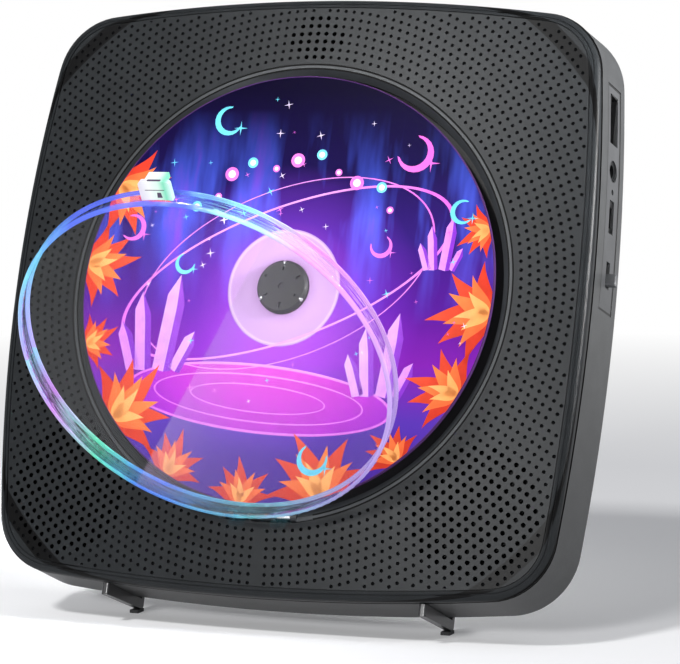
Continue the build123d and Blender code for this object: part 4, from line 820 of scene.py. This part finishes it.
def star(u, v, reach, tilt=0.0):
    """A four-pointed sparkle."""
    waist, shoulder = 0.16, 0.24
    ring = []
    for i in range(16):
        turn = tilt + pi * i / 8
        far = reach if i % 4 == 0 else reach * (waist if i % 4 == 2 else shoulder)
        ring.append((u + far * cos(turn), v + far * sin(turn)))
    return ring


def crescent(u, v, reach, tilt):
    """A crescent moon: an arc, and back along a smaller one that is set to the side."""
    steps, shrink, shift = 16, 0.80, 0.19
    start, sweep = radians(50), radians(260)
    outer = [start + sweep * i / steps for i in range(steps + 1)]
    inner = [start + sweep - sweep * i / steps for i in range(1, steps)]
    ring = [turned(reach * cos(t), reach * sin(t), tilt) for t in outer]
    ring += [turned(reach * (cos(t) * shrink + shift), reach * sin(t) * shrink, tilt) for t in inner]
    return [(u + x, v + y) for x, y in ring]


sky = Ink("print_sky", ink("ink_sky", night_sky), 1)
sky.band(circle(0, 0, PRINT_OUT, 160), circle(0, 0, PRINT_IN, 160))
sky.done()

# A pool with ripples on it, and two orbits round the hub.
POOL_U, POOL_V, POOL_TILT = -4, -31, radians(-4)
POOL_HALF_U, POOL_HALF_V = 39, 9.5
ORBIT_V, ORBIT_TILT = 4, radians(21)
pool = fading_ink("print_pool", "ink_pool", (0.50, 0.045, 0.46), (0.20, 0.012, 0.38), 24, 52, 2)
pool.shape(ellipse(POOL_U, POOL_V, POOL_HALF_U, POOL_HALF_V, POOL_TILT))
pool.done()
glints = fading_ink("print_glints", "ink_glints", (0.62, 0.27, 0.62), (0.45, 0.07, 0.50), 18, 56, 3)
for half_u, half_v, thick in ((POOL_HALF_U, POOL_HALF_V, 0.9), (31, 6.6, 0.5), (20, 3.9, 0.4)):
    hoop(glints, POOL_U, POOL_V, half_u, half_v, POOL_TILT, thick, 0.8)
for half_u, half_v, thick in ((50, 19, 1.1), (44, 24, 0.5)):
    hoop(glints, 0, ORBIT_V, half_u, half_v, ORBIT_TILT, thick, 0.5)

bright_side = fading_ink("print_crystal_light", "ink_crystal_light",
                         (0.56, 0.36, 0.64), (0.46, 0.17, 0.60), 20, 48, 4)
dark_side = fading_ink("print_crystal_shade", "ink_crystal_shade",
                       (0.27, 0.07, 0.50), (0.16, 0.025, 0.38), 20, 48, 4)


def crystal(u, v, width, height, tilt):
    """A pointed crystal standing at u, v, with a light and a shaded side."""
    corners = {"left": (-width, 0.0), "right": (width, 0.0), "middle": (0.25 * width, -0.18 * width),
               "high_left": (-width, height * 0.78), "high_right": (width, height * 0.70),
               "high_middle": (0.25 * width, height * 0.66), "tip": (0.0, height)}
    at = {key: (u + x, v + y) for key, (a, b) in corners.items() for x, y in [turned(a, b, tilt)]}
    bright_side.shape([at["left"], at["middle"], at["high_middle"], at["tip"], at["high_left"]])
    dark_side.shape([at["middle"], at["right"], at["high_right"], at["tip"], at["high_middle"]])


# u, v and size of each cluster; shift, width, height and tilt of each crystal in one
CLUSTERS = ((-36, -24, 1.0), (30, -29, 0.85), (44, 6, 0.55))
CRYSTALS = ((-6, 2.0, 14, 0.35), (6.4, 1.9, 12, -0.42), (-3, 2.4, 22, 0.12), (2.6, 2.8, 27, -0.10))
for cluster_u, cluster_v, size in CLUSTERS:
    for shift, width, height, tilt in CRYSTALS:
        crystal(cluster_u + shift * size, cluster_v, width * size, height * size, tilt)
bright_side.done()
dark_side.done()

# Blossoms along the disc's edge, from the upper left round below to the right, each of three
# fans of petals laid on one another.
BLOSSOMS, FIRST_BLOSSOM, BLOSSOM_STEP = 11, 152, 22.5
BLOSSOM_SIZE, BLOSSOM_SWING = 13.5, 4.5
FAN_STEP, PETAL_CURL = 0.44, 0.22
PETAL_SLIMNESS = 13 / 2.5
coral = fading_ink("print_petal_back", "ink_coral", (0.60, 0.075, 0.035), (0.42, 0.03, 0.015), 40, 58, 5)
orange = fading_ink("print_petal_middle", "ink_orange", (0.66, 0.21, 0.06), (0.58, 0.10, 0.03), 42, 58, 6)
amber = fading_ink("print_petal_front", "ink_amber", (0.70, 0.40, 0.17), (0.66, 0.27, 0.08), 44, 58, 7)
FANS = ((coral, 1.0, (-2, -1, 0, 1, 2)), (orange, 0.78, (-1.5, -0.5, 0.5, 1.5)), (amber, 0.55, (-1, 0, 1)))
for i in range(BLOSSOMS):
    turn = radians(FIRST_BLOSSOM + i * BLOSSOM_STEP)
    size = BLOSSOM_SIZE + BLOSSOM_SWING * sin(2.3 * i + 0.6)
    root = Vector((PRINT_OUT * cos(turn), PRINT_OUT * sin(turn)))
    for layer, shrink, fan in FANS:
        width = shrink * size / PETAL_SLIMNESS
        for k in fan:
            length = size * shrink * (1.08 - 0.13 * abs(k))
            curl = PETAL_CURL * (k if k else 1)
            layer.shape(petal(root, turn + pi + FAN_STEP * k, length, width, curl))
for layer in (coral, orange, amber):
    layer.done()

cyan = fading_ink("print_cyan", "ink_cyan", (0.16, 0.55, 0.66), (0.10, 0.42, 0.58), 20, 56, 8)
pink = fading_ink("print_pink", "ink_pink", (0.60, 0.15, 0.54), (0.52, 0.10, 0.46), 20, 56, 8)
pale = fading_ink("print_pale", "ink_pale", (0.68, 0.58, 0.72), (0.60, 0.50, 0.70), 20, 56, 9)

# A string of beads in an arc over the hub, each with a pale middle.
BEADS, FIRST_BEAD, BEAD_STEP = 11, 38, 10.4
BEAD_ARC, BEAD_SWING = 36, 2.2
for k in range(BEADS):
    turn = radians(FIRST_BEAD + BEAD_STEP * k)
    far = BEAD_ARC + BEAD_SWING * sin(1.9 * k)
    u, v, size = far * cos(turn), far * sin(turn), 1.0 + 0.5 * (k % 3)
    (pink, cyan, pink)[k % 3].shape(circle(u, v, size, 24))
    pale.shape(circle(u, v, size * 0.55, 20))

# Moons, each with a star beside it: u, v, size, tilt and ink.
MOONS = ((-22, 47, 4.2, 0.5, cyan), (34, 38, 5.2, 2.4, pink), (49, 22, 3.4, 0.2, cyan),
         (-47, 16, 3.8, 2.9, pink), (14, -47, 4.4, 1.2, cyan), (-30, 6, 3.0, 0.9, cyan),
         (27, 12, 3.2, 2.0, pink))
for u, v, size, tilt, layer in MOONS:
    layer.shape(crescent(u, v, size, tilt))
    layer.shape(star(u + size * 0.9, v - size * 0.5, size * 0.5))

# Sparkles over the sky, but none among the lower blossoms.
SPARKLES = 70
SPARKLE_IN, SPARKLE_OUT = 19, 55
BARE_BELOW, BARE_BEYOND = -14, 38
for _ in range(SPARKLES):
    turn, far = chance.uniform(0, 2 * pi), chance.uniform(SPARKLE_IN, SPARKLE_OUT)
    u, v = far * cos(turn), far * sin(turn)
    if v < BARE_BELOW and far > BARE_BEYOND:
        continue
    chance.choice((pale, cyan, pink)).shape(star(u, v, chance.uniform(0.5, 1.5), chance.uniform(0, 0.6)))
for layer in (glints, cyan, pink, pale):
    layer.done()


# ---------------------------------------------------------------- marks on the keys
def reach_of(node, direction):
    """How far a CAD node reaches along a direction of the row frame, in millimetres: lowest and highest."""
    found = [v.co.dot(direction) * 1000 for v in nodes[node].data.vertices]
    return min(found), max(found)


pale_mark = surface("pale_mark", (0.55, 0.56, 0.58), 0.5, grain=1800, depth=0.000003)


def key_mark(node, body, shapes):
    """Flat symbols on top of a key, given in millimetres: u to the right, and towards the back."""
    left, right = reach_of(node, RIGHT)
    back, front = reach_of(node, OUT)
    top = reach_of(node, UP)[1] + MARK_LIFT
    middle = Vector(((left + right) / 2, 0, 0)) + OUT * ((front + back) / 2) + UP * top
    points, faces = [], []
    for ring in shapes:
        start = len(points)
        points += [(middle + Vector((a, 0, 0)) - OUT * b) / 1000 for a, b in ring]
        faces.append(tuple(range(start, len(points))))
    build(node + "_mark", points, faces, pale_mark, body)


def bar_at(a, half_a, half_b):
    return [(a - half_a, -half_b), (a + half_a, -half_b), (a + half_a, half_b), (a - half_a, half_b)]


def arrow_at(a, reach, half_b):
    return [(a - reach / 2, -half_b), (a + reach / 2, 0.0), (a - reach / 2, half_b)]


minus = bar_at(0, 1.2, 0.3)
plus = [(0.3, 0.3), (1.2, 0.3), (1.2, -0.3), (0.3, -0.3), (0.3, -1.2), (-0.3, -1.2),
        (-0.3, -0.3), (-1.2, -0.3), (-1.2, 0.3), (-0.3, 0.3), (-0.3, 1.2), (0.3, 1.2)]
back_skip = [bar_at(-1.6, 0.2, 1.0), arrow_at(-0.6, -1.5, 1.0), arrow_at(0.9, -1.5, 1.0)]
next_skip = [arrow_at(-0.9, 1.5, 1.0), arrow_at(0.6, 1.5, 1.0), bar_at(1.6, 0.2, 1.0)]
key_mark("key_volume_down", "volume_down_key", [minus])
key_mark("key_previous", "previous_key", back_skip)
key_mark("key_play", "play_key", [arrow_at(0, 2.2, 1.2)])
key_mark("key_next", "next_key", next_skip)
key_mark("key_volume_up", "volume_up_key", [plus])


# ---------------------------------------------------------------- stage, light and camera
def lamp_at(name, place, aim, size, power, spread=180):
    """A rectangular lamp at place, turned towards aim."""
    data = bpy.data.lights.new(name, "AREA")
    data.shape = "RECTANGLE"
    data.size, data.size_y = size
    data.energy = power
    data.spread = radians(spread)
    light = bpy.data.objects.new(name, data)
    light.location = place
    light.rotation_euler = (Vector(aim) - Vector(place)).to_track_quat("-Z", "Y").to_euler()
    bpy.context.scene.collection.objects.link(light)


# The floor is matt round the player and fades into the white behind it.
FLOOR_HALF = 6.0
FADE_FROM, FADE_TO = 0.30, 0.9
floor_mat, tree = new_material("pale_floor")
tree.nodes.clear()
where = tree.nodes.new("ShaderNodeTexCoord")
far = tree.nodes.new("ShaderNodeVectorMath")
far.operation = "LENGTH"
tree.links.new(where.outputs["Object"], far.inputs[0])
fade = tree.nodes.new("ShaderNodeMapRange")
fade.inputs["From Min"].default_value = FADE_FROM
fade.inputs["From Max"].default_value = FADE_TO
tree.links.new(far.outputs["Value"], fade.inputs["Value"])
matt = node_at(tree, "ShaderNodeBsdfDiffuse", Color=(0.94, 0.94, 0.95, 1))
lift = node_at(tree, "ShaderNodeEmission", Color=(1, 1, 1, 1), Strength=0.10)
near = tree.nodes.new("ShaderNodeAddShader")
tree.links.new(matt.outputs["BSDF"], near.inputs[0])
tree.links.new(lift.outputs["Emission"], near.inputs[1])
glow = node_at(tree, "ShaderNodeEmission", Color=(1, 1, 1, 1), Strength=1.0)
out = tree.nodes.new("ShaderNodeOutputMaterial")
shade = blended(tree, fade.outputs["Result"], near.outputs["Shader"], glow.outputs["Emission"])
tree.links.new(shade, out.inputs["Surface"])

mesh = bpy.data.meshes.new("floor")
corners = [(-FLOOR_HALF, -FLOOR_HALF, 0), (FLOOR_HALF, -FLOOR_HALF, 0),
           (FLOOR_HALF, FLOOR_HALF, 0), (-FLOOR_HALF, FLOOR_HALF, 0)]
mesh.from_pydata(corners, [], [(0, 1, 2, 3)])
mesh.materials.append(floor_mat)
floor = bpy.data.objects.new("floor", mesh)
bpy.context.scene.collection.objects.link(floor)

# The world is white to the camera and through clear pieces, and a dimmer, cooler light elsewhere.
world = bpy.data.worlds.new("studio")
bpy.context.scene.world = world
world.use_nodes = True
tree = world.node_tree
tree.nodes.clear()
ray = tree.nodes.new("ShaderNodeLightPath")
seen = maths(tree, "MAXIMUM", ray.outputs["Is Camera Ray"], ray.outputs["Is Transmission Ray"])
shown = node_at(tree, "ShaderNodeBackground", Color=(1, 1, 1, 1), Strength=1.0)
ambient = node_at(tree, "ShaderNodeBackground", Color=(0.93, 0.95, 1, 1), Strength=0.34)
out = tree.nodes.new("ShaderNodeOutputWorld")
shade = blended(tree, seen, ambient.outputs["Background"], shown.outputs["Background"])
tree.links.new(shade, out.inputs["Surface"])

lamp_at("key_above", (-0.30, -0.92, 0.93), (0, 0.02, 0.03), (0.13, 0.13), 8.8)
lamp_at("low_front", (-0.14, -1.10, 0.40), (0.05, 0, 0.06), (0.20, 0.12), 6.5)
lamp_at("side_right", (0.62, -0.10, 0.30), (0.088, -0.03, 0.17), (0.16, 0.10), 0.5, spread=28)

# The camera that took the photo, as fitted to it: metres, and degrees about x, y and z.
CAMERA_PLACE = (0.30817, -0.80505, 0.14885)
CAMERA_TURNS = (85.1471, 0.0242, 21.4431)
camera_data = bpy.data.cameras.new("photo_camera")
camera_data.lens = 157.112
camera_data.sensor_width = 36.0
camera_data.clip_start = 0.05
camera = bpy.data.objects.new("photo_camera", camera_data)
turns = Euler([radians(turn) for turn in CAMERA_TURNS])
camera.matrix_world = Matrix.LocRotScale(Vector(CAMERA_PLACE), turns, None)
bpy.context.scene.collection.objects.link(camera)
bpy.context.scene.camera = camera
bpy.context.scene.view_settings.view_transform = "Standard"
